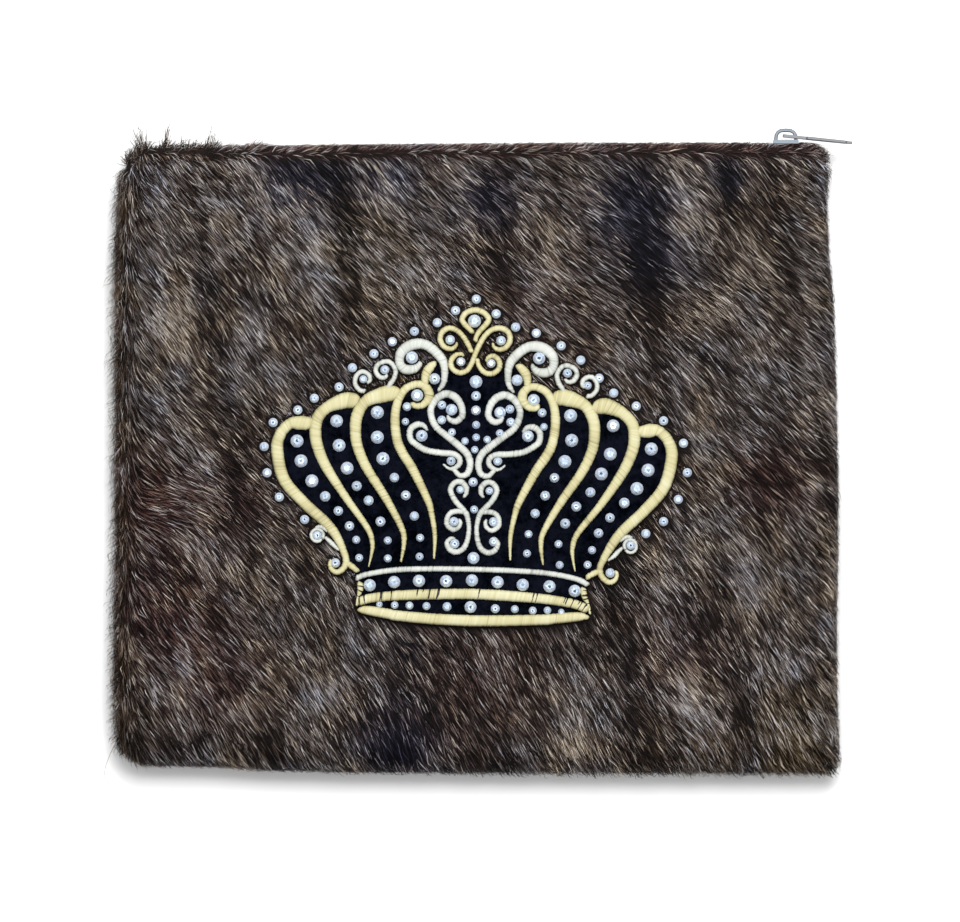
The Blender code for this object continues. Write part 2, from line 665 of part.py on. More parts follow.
clear_scene()
parts = bpy.data.collections.new("tallit_and_tefillin_bag")
cutters = bpy.data.collections.new("cutters")
bpy.context.scene.collection.children.link(parts)
bpy.context.scene.collection.children.link(cutters)
bag = bpy.data.objects.new("bag", None)
bag.location = (BAG_X, BAG_Y, 0)
parts.objects.link(bag)

hide = material("haired hide", "3a322e", 0.8)
webbing = material("zip tape", "1b1917", 0.85)
brass = material("brass teeth", "8a7a55", 0.4, 1.0)
nickel = material("nickel plate", "9a9a98", 0.3, 1.0)
velvet = material("black velvet", "0b0b12", 0.95)
gold = material("gold thread", "d9c478", 0.4, 0.6)
silver = material("silver thread", "dcdcd0", 0.4, 0.5)
crystal = material("foiled glass", "cfe0f5", 0.08)

build_hide()
build_zip()
build_patch()
build_embroidery()
build_outer_stones()
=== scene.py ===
import math

import bmesh
import bpy
import numpy as np
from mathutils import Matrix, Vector


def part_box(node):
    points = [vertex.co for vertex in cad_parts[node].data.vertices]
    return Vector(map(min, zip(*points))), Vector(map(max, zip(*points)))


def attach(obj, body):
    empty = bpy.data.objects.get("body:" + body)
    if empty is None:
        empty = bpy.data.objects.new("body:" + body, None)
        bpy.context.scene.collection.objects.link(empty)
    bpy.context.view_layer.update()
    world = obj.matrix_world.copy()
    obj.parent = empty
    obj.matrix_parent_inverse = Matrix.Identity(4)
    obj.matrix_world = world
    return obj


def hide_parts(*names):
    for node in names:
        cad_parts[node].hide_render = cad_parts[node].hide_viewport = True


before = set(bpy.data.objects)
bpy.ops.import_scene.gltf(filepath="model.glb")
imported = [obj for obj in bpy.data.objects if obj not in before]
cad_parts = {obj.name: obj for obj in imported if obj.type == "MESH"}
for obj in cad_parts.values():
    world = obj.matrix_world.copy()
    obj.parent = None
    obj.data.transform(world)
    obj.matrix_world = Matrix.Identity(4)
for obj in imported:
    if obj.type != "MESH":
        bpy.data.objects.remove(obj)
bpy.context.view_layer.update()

# The view. The bag lies on its back under a soft, nearly shadowless daylight, and the camera
# looks straight down on it. Sizes below are millimetres, and places are counted from the middle
# of the bag's bottom edge: across, towards the zip, and up from the table.
MM = 0.001
BOTTOM_WIDTH = 321.0
TOP_WIDTH = 314.0
HEIGHT = 277.0
HALF_HEIGHT = HEIGHT / 2
THICKNESS = 30.0
MID = THICKNESS / 2
panel_low, panel_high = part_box("front_panel")
ORIGIN = Vector(((panel_low[0] + panel_high[0]) / 2, panel_low[1], 0))
PICTURE_WIDTH = 425.3
PICTURE_CENTRE = (1.3, 136.4)
SENSOR = 36
CAMERA_HEIGHT = 4000
FOCUS_HEIGHT = 24
FAR_LIMIT = 20000
SKY_STRENGTH = 0.39
TABLE_SIZE = 8000
TABLE_HEIGHT = -1.6


def linear(colour):
    """Turn an sRGB hex colour into linear RGB."""
    channels = [int(colour[i:i + 2], 16) / 255 for i in (0, 2, 4)]
    return [c / 12.92 if c <= 0.04045 else ((c + 0.055) / 1.055) ** 2.4 for c in channels]


def surface(name, colour, roughness, **settings):
    """Start a material from its shader's own values."""
    material = bpy.data.materials.new(name)
    material.use_nodes = True
    inputs = material.node_tree.nodes["Principled BSDF"].inputs
    settings.update(Base_Color=(*linear(colour), 1), Roughness=roughness)
    for key, value in settings.items():
        inputs[key.replace("_", " ")].default_value = value
    return material


def deselect():
    """Let go of every piece, so that an operator works on the next one alone."""
    for obj in bpy.context.selected_objects:
        obj.select_set(False)


deselect()
bpy.ops.object.camera_add(
    location=ORIGIN + Vector((*PICTURE_CENTRE, CAMERA_HEIGHT + FOCUS_HEIGHT)) * MM
)
camera = bpy.context.object
camera.data.sensor_width = SENSOR
camera.data.lens = SENSOR * CAMERA_HEIGHT / PICTURE_WIDTH
camera.data.clip_end = FAR_LIMIT * MM
bpy.context.scene.camera = camera
bpy.context.scene.view_settings.view_transform = "Standard"

world = bpy.data.worlds.new("studio")
world.use_nodes = True
sky = world.node_tree.nodes["Background"].inputs
sky["Color"].default_value = (1, 1, 1, 1)
sky["Strength"].default_value = SKY_STRENGTH
bpy.context.scene.world = world

LAMPS = [
    # name, place in metres from the bag, size in metres, power in watts
    ("window", (0.1, 0.6, 1.5), 0.85, 33),
    ("ceiling", (0.03, -0.1, 1.7), 1.2, 9),
]
for name, place, size, power in LAMPS:
    bpy.ops.object.light_add(type="AREA", location=place)
    lamp = bpy.context.object
    lamp.name = name
    lamp.data.size = size
    lamp.data.energy = power
    lamp.rotation_euler = (Vector((0, 0, 0)) - lamp.location).to_track_quat("-Z", "Y").to_euler()

deselect()
bpy.ops.mesh.primitive_plane_add(size=TABLE_SIZE * MM, location=(0, 0, TABLE_HEIGHT * MM))
table = bpy.context.object
table.name = "table"
# Matt white card, so wide that its edge is out of sight.
table.data.materials.append(surface("white card", "f6f6f6", 0.9))


# The hide. Both faces of the bag are one supple hide with its hair on, cut to the panel's
# shape, turned over a padded rim and sewn together round the sides and the foot. The walls are
# 2.6 mm thick and hollow inside, and narrow strips of the same hide face the zip.
CORNER = 11.0
RIM = 14.0
RIM_SHARE = 0.26
WALL = 2.6
STRIP = 4.4
SEAM_GAP = 0.3
FRONT_RISE = 13.0
FRONT_DOME = 2.0
TINY = 1e-6
SLOT_END = 148.3
SLOT_HALF = 2.4
TRAY_CELLS = (84, 76)


def hold(value):
    """Keep a value between 0 and 1."""
    return np.clip(value, 0, 1)


def half_width(y):
    return (BOTTOM_WIDTH + (TOP_WIDTH - BOTTOM_WIDTH) * y / HEIGHT) / 2


def dome(x, y):
    across = 1 - (x / half_width(y)) ** 2
    along = 1 - ((y - HALF_HEIGHT) / HALF_HEIGHT) ** 2
    return FRONT_DOME * np.maximum(across, 0) * np.maximum(along, 0)


def front_z(x, y):
    return MID + FRONT_RISE + dome(x, y)


def shape_tray(x, y, side, rise):
    """Bend a flat square sheet, from -1 to 1 each way, over one face of the bag."""
    reach = np.maximum(np.maximum(abs(x), abs(y)), TINY)
    over_rim = hold((1 - reach) / RIM_SHARE) * math.pi / 2
    inner = hold((1 - RIM_SHARE - reach) / (1 - RIM_SHARE))
    inset = RIM * (1 - np.cos(over_rim)) + (HALF_HEIGHT - RIM) * inner
    tall = HALF_HEIGHT - inset
    along = HALF_HEIGHT + tall * y / reach
    wide = half_width(along) - inset
    across = wide * x / reach
    radius = np.minimum(np.maximum(CORNER - inset, 2), np.maximum(tall, 0.01))
    past_x = abs(across) - (wide - radius)
    past_y = abs(along - HALF_HEIGHT) - (tall - radius)
    in_corner = (past_x > 0) & (past_y > 0)
    shrink = radius / np.maximum(np.hypot(past_x, past_y), TINY)
    round_x = np.sign(across) * (wide - radius + past_x * shrink)
    round_y = HALF_HEIGHT + np.sign(along - HALF_HEIGHT) * (tall - radius + past_y * shrink)
    across = np.where(in_corner, round_x, across)
    along = np.where(in_corner, round_y, along)
    lift = rise * np.sin(over_rim) + (dome(across, along) if side > 0 else 0)
    return across, along, MID + side * (SEAM_GAP / 2 + lift * (1 - SEAM_GAP / 2 / rise))


def read_points(mesh):
    points = np.empty(len(mesh.vertices) * 3, np.float32)
    mesh.vertices.foreach_get("co", points)
    return points.reshape(-1, 3).astype(float)


def write_points(mesh, points):
    mesh.vertices.foreach_set("co", np.asarray(points, np.float32).ravel())
    mesh.update()


def to_frame(points):
    """Bag millimetres to the frame's metres."""
    return np.asarray(points) * MM + np.array(ORIGIN)


def from_frame(points):
    return (points - np.array(ORIGIN)) / MM


# How far the supple edges lie off a straight line: place along the edge and millimetres right
# or up, for the left side, the right side, the zip edge and the foot.
LEFT_EDGE = [
    (0, 3.6), (10, 2.2), (30, 0.8), (75, 0.5), (97, 1.0), (130, 0.1), (163, -0.1), (208, -1.1),
    (239, -0.9), (255, -0.2), (266, 0.6), (277, 2.2),
]
RIGHT_EDGE = [
    (0, -0.9), (31, -1.8), (60, -1.6), (80, -1.3), (97, -0.7), (119, -0.2), (141, -0.4), (186, -0.9),
    (208, -1.4), (225, -2.8), (240, -3.3), (252, -3.6), (261, -2.9), (268, -1.9), (277, 0),
]
ZIP_EDGE = [(-160, -1.6), (-125, -1.4), (-95, -1.1), (-50, -0.7), (0, -0.3), (40, 0)]
FOOT_EDGE = [(-160, 4.0), (-151, 3.2), (-143, 2.5), (-115, 2.2), (-95, 0.9), (-60, 0.1), (0, 0)]


def sway(points):
    """Lay the four edges as they are in the picture; it fades out about 50 mm inwards."""
    moved = np.array(points)
    x, y = points[..., 0], points[..., 1]
    side = hold((abs(x) - 105) / 48)
    moved[..., 0] += side * np.where(
        x < 0, np.interp(y, *zip(*LEFT_EDGE)), np.interp(y, *zip(*RIGHT_EDGE))
    )
    moved[..., 1] += np.interp(x, *zip(*ZIP_EDGE)) * hold((y - 215) / 55)
    moved[..., 1] += np.interp(x, *zip(*FOOT_EDGE)) * hold((55 - y) / 50)
    return moved


def cut_away(obj, doomed):
    """Delete the faces whose centre, in bag millimetres, the test picks."""
    bm = bmesh.new()
    bm.from_mesh(obj.data)
    gone = [f for f in bm.faces if doomed((f.calc_center_median() - ORIGIN) / MM)]
    bmesh.ops.delete(bm, geom=gone, context="FACES")
    bm.to_mesh(obj.data)
    bm.free()


def pick(obj):
    """Select one object alone and make it the active one."""
    deselect()
    obj.select_set(True)
    bpy.context.view_layer.objects.active = obj


def bisect(obj, point, normal, clear_outer=False):
    """Cut the whole piece with a plane given in bag millimetres."""
    pick(obj)
    bpy.ops.object.mode_set(mode="EDIT")
    bpy.ops.mesh.select_all(action="SELECT")
    bpy.ops.mesh.bisect(
        plane_co=ORIGIN + Vector(point) * MM, plane_no=normal, clear_outer=clear_outer
    )
    bpy.ops.object.mode_set(mode="OBJECT")


def make_tray(name, side, rise):
    """Model one face of the bag from a flat grid."""
    deselect()
    bpy.ops.mesh.primitive_grid_add(
        x_subdivisions=TRAY_CELLS[0], y_subdivisions=TRAY_CELLS[1], size=2
    )
    obj = bpy.context.object
    obj.name = obj.data.name = name
    flat = read_points(obj.data)
    write_points(obj.data, to_frame(np.stack(shape_tray(flat[:, 0], flat[:, 1], side, rise), 1)))
    if side < 0:
        obj.data.flip_normals()
    return obj


def finish_mesh(obj, angle=40):
    """Shade a piece smooth, all but the edges sharper than an angle in degrees."""
    pick(obj)
    bpy.ops.object.shade_smooth_by_angle(angle=math.radians(angle))


def give_wall(obj, thickness):
    """Thicken an open sheet inwards and smooth it."""
    wall = obj.modifiers.new("wall", "SOLIDIFY")
    wall.thickness = thickness * MM
    wall.offset = -1
    wall.use_even_offset = True
    pick(obj)
    bpy.ops.object.modifier_apply(modifier=wall.name)
    finish_mesh(obj, 50)


def node(material, kind, links=(), **settings):
    """Add a node to a material, with its settings and its links by input name."""
    made = material.node_tree.nodes.new(kind)
    for key, value in settings.items():
        name = key.replace("_", " ")
        if name in made.inputs:
            made.inputs[name].default_value = value
        else:
            setattr(made, key, value)
    for name, output in dict(links).items():
        material.node_tree.links.new(output, made.inputs[name])
    return made


def feed(material, name, output):
    """Lead a node's output into the material's shader."""
    material.node_tree.links.new(output, material.node_tree.nodes["Principled BSDF"].inputs[name])


def noise(material, size, detail, roughness=0.5):
    """Noise in the piece's own coordinates, with blots of a size in millimetres."""
    place = node(material, "ShaderNodeTexCoord").outputs["Object"]
    made = node(material, "ShaderNodeTexNoise", {"Vector": place},
                Scale=1 / (size * MM), Detail=detail, Roughness=roughness)
    return made.outputs["Fac"]


def tint_by(material, value, *stops):
    """Colour the material by a value from 0 to 1, through stops of place and colour."""
    ramp = node(material, "ShaderNodeValToRGB", {"Fac": value})
    elements = ramp.color_ramp.elements
    for _ in stops[2:]:
        elements.new(1)
    for element, (place, colour) in zip(elements, stops):
        element.position = place
        element.color = (*linear(colour), 1)
    feed(material, "Base Color", ramp.outputs["Color"])


def emboss(material, height, strength, depth):
    """Raise the surface by a value, to a depth in millimetres."""
    bump = node(material, "ShaderNodeBump", {"Height": height},
                Strength=strength, Distance=depth * MM)
    feed(material, "Normal", bump.outputs["Normal"])


# The skin between the hairs is near-black brown leather with a fine grain.
skin = surface("haired hide skin", "120d0b", 0.85, Specular_IOR_Level=0.1)
grain = noise(skin, 1.1111, 4)
tint_by(skin, grain, (0, "080606"), (1, "1c1512"))
emboss(skin, grain, 0.4, 0.3)

seam_y = HEIGHT - STRIP
hide_pieces = {}
for face, side, rise in (("front", 1, FRONT_RISE), ("back", -1, MID)):
    for part in ("panel", "strip"):
        piece = make_tray(f"{face}_hide_{part}", side, rise)
        if part == "panel":
            bisect(piece, (0, seam_y - SEAM_GAP / 2, 0), (0, 1, 0), clear_outer=True)
        else:
            bisect(piece, (0, seam_y + SEAM_GAP / 2, 0), (0, -1, 0), clear_outer=True)
            bisect(piece, (0, 0, MID + side * SLOT_HALF), (0, 0, 1))
            bisect(piece, (SLOT_END, 0, 0), (1, 0, 0))
            bisect(piece, (-SLOT_END, 0, 0), (1, 0, 0))
            cut_away(piece, lambda c: abs(c.x) < SLOT_END and abs(c.z - MID) < SLOT_HALF)
        hide_pieces[face, part] = piece
        piece.data.materials.append(skin)
        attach(piece, "bag")
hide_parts("front_panel")
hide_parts("back_panel")
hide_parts("top_strip_front")
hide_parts("top_strip_back")


# The crown's drawing. It was embroidered by machine from a chart, so its strokes are given here
# in chart squares: out from the middle line, up from the centre, and the stroke's width. The
# right half repeats the left across a middle line that leans a little; the crest is whole.
SQUARE = 180.7 / 408
CROWN_CENTRE = (-0.9, 136.9)
CROWN_AXIS = 0.7
CROWN_LEAN = math.radians(1.3)
CURVE_STEPS = 12

RIB_1 = [
    (161.5, 38, 9), (168, 36.5, 13), (175, 37, 14), (184, 36.5, 11), (193.5, 27, 11), (197.5, 11, 12.2),
    (191, -18.8, 12), (171.5, -42, 11.2), (149.6, -62, 10.5), (138.5, -76, 9.2), (131, -92, 7),
    (128.7, -101, 6.6), (131.5, -108.4, 6), (137.5, -112, 5.6), (142.8, -109.6, 5), (145, -104.4, 4.2),
    (143.6, -99.4, 2.8),
]
RIB_2 = [
    (115.5, 59, 10), (121, 59, 15), (131, 59, 16), (146.5, 53, 11.8), (157, 42, 12), (159.4, 26, 12),
    (156, 9.8, 11.4), (147.5, -9, 10.4), (128.4, -38.4, 8), (107.4, -68.2, 6.2), (102.6, -83, 4.9),
    (103.4, -94, 3.4), (106.3, -107, 1.4),
]
RIB_3 = [
    (75, 65, 10), (81, 66, 15), (90.5, 65.6, 16.5), (108.6, 58.8, 12), (117.8, 44, 12),
    (119.3, 26, 11.2), (116.5, 11, 10.6), (107.6, -9, 9.8), (88.8, -38.7, 8.4), (73.2, -68.3, 6.2),
    (71, -83, 4.9), (74, -102, 2),
]
RIB_4 = [
    (63.5, 57.5, 4), (59.5, 54, 6), (52.4, 54.8, 7), (46.2, 61.5, 9.5), (46.8, 69, 9.5),
    (52, 74.4, 8.2), (60, 75.2, 7.8), (70, 70.2, 8.2), (77.2, 58, 8.6), (79.9, 41, 9.4), (78, 21, 9.6),
    (72.4, 7, 9.8), (62.4, -9, 9.4), (47.8, -39, 7.6), (43.6, -53, 6), (40.2, -75, 4.6), (41, -99, 2),
]
INNER_CURL = [(38.5, 97, 5), (43.5, 93.5, 8.5), (48, 88, 9.4), (50, 81, 8), (49.7, 74, 6)]
RIB_FOOT = [(129, -102.5, 6), (122.8, -106.5, 6.2), (116.4, -112, 5)]
CREST_LOOP = [
    (1.8, 126, 4.6), (5.6, 130.6, 5.4), (10.8, 136, 5.7), (12.8, 140.8, 5.8), (8.6, 147, 5.8),
    (0, 149.6, 5.8), (-8.6, 147, 5.8), (-13.6, 140.7, 5.8), (-10.7, 135, 5.6), (-5.6, 129.6, 5.4),
    (-1.7, 124, 5.2), (0, 117.8, 4.6),
]
CREST_CROSSING = [
    (11, 103.4, 2.6), (14.2, 105.6, 4.2), (19.4, 104.4, 5.2), (23.9, 98.8, 5.6), (22.8, 91.4, 5.6),
    (15.8, 87, 5.6), (8, 89.3, 5.4), (3, 97, 5.4), (0, 105, 5.4), (-4.1, 114.2, 5.4),
    (-10.2, 124.2, 5.4), (-17.9, 130.3, 5.6), (-26.6, 131.2, 5.8), (-33.5, 126.6, 5.8),
    (-34.8, 118.8, 5.8), (-30.4, 112, 5.6), (-23.6, 110.2, 5), (-18.8, 113, 4), (-17.8, 117, 2.4),
]
CREST_LEFT = [
    (3, 106.6, 4.8), (6.8, 114.9, 5.4), (11.9, 123.2, 5.4), (18.2, 129.2, 5.4), (26, 131.5, 5.8),
    (33, 127.2, 5.8), (34.7, 119.8, 5.6), (30.8, 113, 5.4), (23.9, 110.8, 5), (19.2, 113.6, 4),
    (17.9, 117.6, 2.4),
]
CREST_FOOT = [
    (-2.2, 101.6, 4), (-3.8, 94, 5), (-9.7, 87.2, 5.6), (-17.6, 86.2, 5.6), (-23.9, 91.2, 5.6),
    (-24, 98.8, 5.6), (-18.5, 103.6, 5.2), (-13, 102, 4.4), (-10.8, 97.6, 2.6),
]
UPPER_RING = [
    (117, -141.8, 8.6), (104, -138, 9.2), (78.3, -135.4, 9.8), (41.6, -134.2, 10.6), (10, -133.8, 10.6),
]
LOWER_RING = [
    (117.5, -149.4, 3), (108, -150, 9), (86, -153.8, 10.2), (78.3, -155.4, 10.6), (41.6, -158.8, 11),
    (10, -160.4, 11.2),
]
RING_END = [(114.6, -121.5, 6), (114.8, -130, 6), (117, -137, 2.8), (118.3, -146, 2.4)]
SILVER_BAND = [
    (119.4, -118.6, 5.6), (107.6, -114.2, 5.6), (78.3, -109.8, 5.6), (41.6, -108.8, 5.6),
    (10, -109.1, 5.6),
]
SCROLL = [
    (37.2, 68.5, 3), (31.4, 77.3, 6), (30.6, 92, 8), (35, 103, 9.7), (49, 114.7, 10), (63.6, 114.7, 11),
    (74, 106.7, 10), (75, 96.4, 9), (69.5, 90.5, 10), (60.5, 90.8, 8.4), (55.4, 95, 5.6),
    (54.6, 98.6, 3),
]
CURL_INNER = [
    (87.5, 70, 3.6), (85, 75.4, 5), (81.4, 80.4, 5.2), (79.3, 88.4, 5), (82.7, 95.5, 5),
    (88.3, 98.3, 5), (96.4, 95.5, 5), (99.2, 89.4, 5), (95.9, 83.3, 5), (90.8, 82, 4.4), (87, 85, 3.2),
]
CURL_OUTER = [
    (109.2, 68.5, 4.8), (114.8, 69.5, 4.8), (119.4, 75, 4.8), (119.4, 81.7, 4.8), (115.8, 86.8, 4.8),
    (111.2, 87.9, 4.8), (106.1, 84.8, 4.8), (105, 79.6, 4.4), (108, 76.4, 3),
]
S_SCROLL = [
    (27.6, 44.8, 2.6), (25, 40.2, 5.4), (18.8, 38.6, 6.6), (13.2, 43.4, 6.8), (12.8, 50, 7),
    (15.2, 57, 7.5), (20.8, 63.3, 8), (29, 65.8, 8), (37.1, 62.2, 7.5), (42.2, 55.6, 7), (44.3, 48, 7),
    (42.2, 38.8, 7), (37.7, 31.6, 7), (31, 26, 7), (16.7, 14.5, 7.5), (7.8, 5.6, 7.5), (4.9, -4.6, 7),
    (8, -13.8, 6.5), (15, -15.6, 5.5), (20, -11, 5), (22, -8.6, 4),
]
S_LOBE = [
    (47.3, 29, 3), (51.4, 34.2, 5), (57.6, 35.2, 6.5), (63.2, 32, 6.5), (65.2, 27, 6.5),
    (64.2, 20.4, 6.5), (59.2, 15.6, 6.5), (49, 9.7, 6.5), (34.3, 7, 6.5), (22, 6, 6), (15.7, 1.5, 6),
    (16, -4.5, 5.5), (21.5, -8.6, 4.5), (26.8, -8.2, 3), (32, -4, 2),
]
LOWER_S = [
    (12, -37.6, 2.6), (9, -33.6, 4.6), (9, -27.3, 5.8), (13.5, -22.3, 5.8), (19.3, -22.3, 5.8),
    (23.9, -27.3, 5.8), (23.9, -33, 5.8), (19.3, -41.4, 5.8), (12.7, -48.8, 5.8), (8.5, -54.6, 5.8),
    (6.4, -63.7, 5), (6.2, -71.2, 5), (7.9, -81.2, 5.4), (11.8, -88.6, 5.8), (18.5, -92, 5.8),
    (25.1, -89.5, 5.8), (28, -82.8, 5), (24, -78.4, 4), (19.6, -79, 2.6),
]
LOWER_BRANCH = [
    (10.5, -52, 5.4), (17.6, -51.3, 5.4), (24.3, -53, 5.4), (28, -58.8, 5.4), (27.6, -65.4, 5.4),
    (21.8, -69.6, 5), (16.6, -67.6, 4.4), (14.5, -63, 4), (15.8, -58.6, 2.6),
]
FOOT_STEM = [(150, -76.8, 2.4), (145, -81.4, 4.6), (140.6, -85.8, 4.2), (135.5, -90.8, 2)]
FOOT_LEAF = [(160, -67.6, 2.4), (153.6, -67, 4.4), (147, -71.6, 2)]
FOOT_RING_CENTRE = (157.5, -75.3)
FOOT_RING_RADIUS = 6.1
FOOT_RING_WIDTH = 3.4
FOOT_RING_START = -2.5
FOOT_RING_STEPS = 10

# Edge of the velvet under the ribs, left half from the top: out and up.
VELVET_EDGE = [
    (0, 90), (12, 87), (21, 89), (27, 95), (31, 92), (38, 97), (45, 92), (50, 80), (58, 75), (70, 70),
    (77, 62), (90, 64), (108, 58), (118, 58), (130, 58), (146, 52), (157, 42), (165, 38), (175, 37),
    (186, 36), (195, 26), (197, 11), (189, -18), (171.5, -42), (149.5, -62), (137, -75), (130.4, -91.5),
    (128, -102), (118, -108), (119, -118), (117, -126), (116, -141), (116.5, -148), (95, -153),
    (78, -157), (42, -160.5), (14, -161.3),
]
# Stones of both halves, which aren't quite each other's mirror image: out and up on the left,
# out and up on the right, and the diameter in squares.
STONE_PAIRS = [
    (177.7, 18.8, 176, 10.8, 13), (173.7, -1, 172.7, -10.3, 13), (162.9, -21, 161.6, -28.7, 13),
    (149.6, -36.5, 149, -43, 10.5), (136.5, -51, 134.7, -57.8, 9.5), (125.4, -66, 123.3, -73.2, 9.5),
    (118.6, -79.8, 116.8, -90.1, 8), (115.7, -97.8, 112.4, -104.8, 8), (138.2, 38.8, 137.9, 34, 12.7),
    (135.7, 14.5, 135, 5.8, 12.8), (127.7, -8.3, 126.1, -14.1, 12.8), (118.1, -26.1, 115.2, -32.4, 10),
    (106.2, -40.6, 101.1, -46.7, 10), (94.4, -61.6, 90, -63.6, 10), (87.1, -80.5, 83.3, -84.1, 8),
    (87.1, -98.4, 84.5, -105, 8), (97.5, 47.3, 95.4, 44.1, 13), (97.5, 22.6, 96.5, 19.4, 13),
    (92, 1.2, 89.7, -1.7, 13), (80.5, -17.7, 79.3, -18, 9.5), (69.2, -35.4, 70, -35.8, 9.7),
    (60.6, -56.1, 60, -53.6, 9.3), (54.8, -77.8, 53.4, -74.2, 8), (55.4, -96.6, 51.9, -93.5, 8),
    (67.9, 53.1, 67, 47, 8.8), (69.5, 38.1, 68.8, 32.9, 7.5), (57.8, 64.4, 58.6, 59.6, 12.2),
    (40.4, 80.9, 42, 79.5, 11.2), (23.4, 50, 25, 47.3, 11.5), (33.1, 54.8, 34.8, 50.6, 8.8),
    (33.2, 39.8, 35.6, 37.6, 8.8), (23.1, 27.5, 24.8, 26.5, 8), (53.2, 24, 52.8, 23.7, 11.7),
    (23.9, -1.1, 22.6, -1.3, 9), (10, 18.7, 12.1, 20.2, 7.5), (14.7, -29.8, 14.4, -31, 8),
    (21.1, -61.8, 18.6, -61.9, 9.6), (20.4, -83.7, 18.7, -81.7, 9.6), (63, 102.2, 64, 101.4, 12.3),
    (90.1, 89.9, 92.3, 86.6, 9), (111.5, 80.5, 112.5, 74.1, 8), (157.5, -75.3, 155.5, -85.4, 9),
    (139.5, -102.9, 135, -113, 9.5), (105.2, -125.2, 99.6, -130.8, 12.3),
    (80.8, -122, 74.3, -126.3, 12.3), (56, -120.8, 47.6, -124.8, 12.3),
    (28.9, -121.1, 22.5, -122.1, 12.3), (95.5, -144.3, 86.1, -151.9, 6.5),
    (80.2, -145, 72.3, -150.3, 7.6), (65.5, -145.5, 57.6, -150.5, 8), (48.5, -146, 39.7, -149.1, 8),
    (28, -146.6, 20.2, -148.6, 9),
]
CREST_STONES = [(24.8, 119.8, 9.6), (-26, 118.9, 9.6), (14.1, 98, 9), (-16, 96.4, 9)]
MIDDLE_STONES = [
    (0.5, 138.5, 13), (-0.9, 78, 12.8), (-1, 63.8, 9.6), (-0.9, 49.4, 9.6), (-1.1, 34.9, 8),
    (-1.1, 22.4, 7.7), (0.3, 10.1, 7.5), (1.9, -22.3, 9.3), (0.9, -49.6, 8), (1.6, -98, 12),
    (3.1, -120.3, 12.3), (4.5, -146.9, 12),
]
# Stones sewn on the hide round the crown, over the top from left to right: out and up.
OUTER_STONES = [
    (170.2, -59.6), (195.5, -37.2), (207.7, -12.9), (210.6, 13.3), (201.6, 37.3), (177, 49.8),
    (160.5, 61.5), (135.8, 72.8), (122.5, 92), (101, 106), (82.6, 118), (60.6, 128.4), (37.7, 137),
    (19.5, 149.1), (-1.3, 160.5), (-21.1, 145.8), (-40.5, 132.5), (-61.2, 126.5), (-86, 113.9),
    (-105.6, 99.5), (-124, 81.5), (-138.5, 66.7), (-161, 53.7), (-188.3, 39), (-208.2, 16.6),
    (-212, -12.8), (-203, -39.5), (-188.3, -61.6), (-170.5, -73.7),
]
OUTER_DIAMETER = 9.2


def chart(out, up):
    """Bag millimetres of a chart square on the crown's left half."""
    return CROWN_CENTRE[0] - out * SQUARE, CROWN_CENTRE[1] + up * SQUARE


def mirrored(rows):
    """Reflect chart rows across a middle line that leans; the right foot is worked lower."""
    turned = []
    cosine, sine = math.cos(2 * CROWN_LEAN), math.sin(2 * CROWN_LEAN)
    for out, up, *rest in rows:
        across = out - CROWN_AXIS
        low = float(hold((-25 - up) / 60) * hold((out - 110) / 30))
        foot = float(hold((-125 - up) / 15) * hold((out - 60) / 50))
        new_out = -across * cosine - up * sine + CROWN_AXIS - 3 * low - 4 * foot
        new_up = up * cosine - across * sine - 4.5 * low - 2 * foot
        turned.append((new_out, new_up, *rest))
    return turned


def across(rows):
    """Continue a left-hand band over the middle to its mirrored end."""
    return rows + mirrored(rows)[::-1]


def smooth_line(rows, spacing):
    """Run a smooth curve through the rows; return evenly spaced places and widths in mm."""
    points = np.array([(*chart(out, up), width * SQUARE) for out, up, width in rows])
    before = np.vstack([2 * points[:1] - points[1:2], points, 2 * points[-1:] - points[-2:-1]])
    t = np.linspace(0, 1, CURVE_STEPS, endpoint=False)[:, None]
    runs = []
    for a, b, c, d in zip(before, before[1:], before[2:], before[3:]):
        runs.append(0.5 * (2 * b + (c - a) * t + (2 * a - 5 * b + 4 * c - d) * t ** 2
                           + (3 * b - a - 3 * c + d) * t ** 3))
    fine = np.vstack([*runs, points[-1:]])
    length = np.concatenate([[0], np.cumsum(np.hypot(*np.diff(fine[:, :2], axis=0).T))])
    count = max(int(length[-1] / spacing), 4)
    stops = np.linspace(0, length[-1], count + 1)
    return np.stack([np.interp(stops, length, fine[:, k]) for k in range(3)], 1), stops


GOLD_STROKES = {
    "gold_crest": [CREST_LEFT, CREST_FOOT, CREST_CROSSING, CREST_LOOP],
    "gold_rim": [across(UPPER_RING), across(LOWER_RING), RING_END, mirrored(RING_END)],
}
SILVER_STROKES = {"silver_band": [across(SILVER_BAND)]}
foot_ring = []
for step in range(FOOT_RING_STEPS + 1):
    angle = math.tau * step / FOOT_RING_STEPS + FOOT_RING_START
    out = FOOT_RING_CENTRE[0] + FOOT_RING_RADIUS * math.cos(angle)
    up = FOOT_RING_CENTRE[1] + FOOT_RING_RADIUS * math.sin(angle)
    foot_ring.append((out, up, FOOT_RING_WIDTH))
for hand, turn in (("left", list), ("right", mirrored)):
    ribs = (RIB_4, RIB_3, RIB_2, RIB_1, INNER_CURL, RIB_FOOT)
    GOLD_STROKES[f"gold_ribs_{hand}"] = [turn(rows) for rows in ribs]
    for name, *strokes in (
        ("scroll", SCROLL), ("curl_inner", CURL_INNER), ("curl_outer", CURL_OUTER),
        ("s", S_SCROLL, S_LOBE), ("lower", LOWER_S, LOWER_BRANCH),
        ("foot", foot_ring, FOOT_STEM, FOOT_LEAF),
    ):
        SILVER_STROKES[f"silver_{name}_{hand}"] = [turn(rows) for rows in strokes]
crown_stones = [(out, up, size) for out, up, _, _, size in STONE_PAIRS]
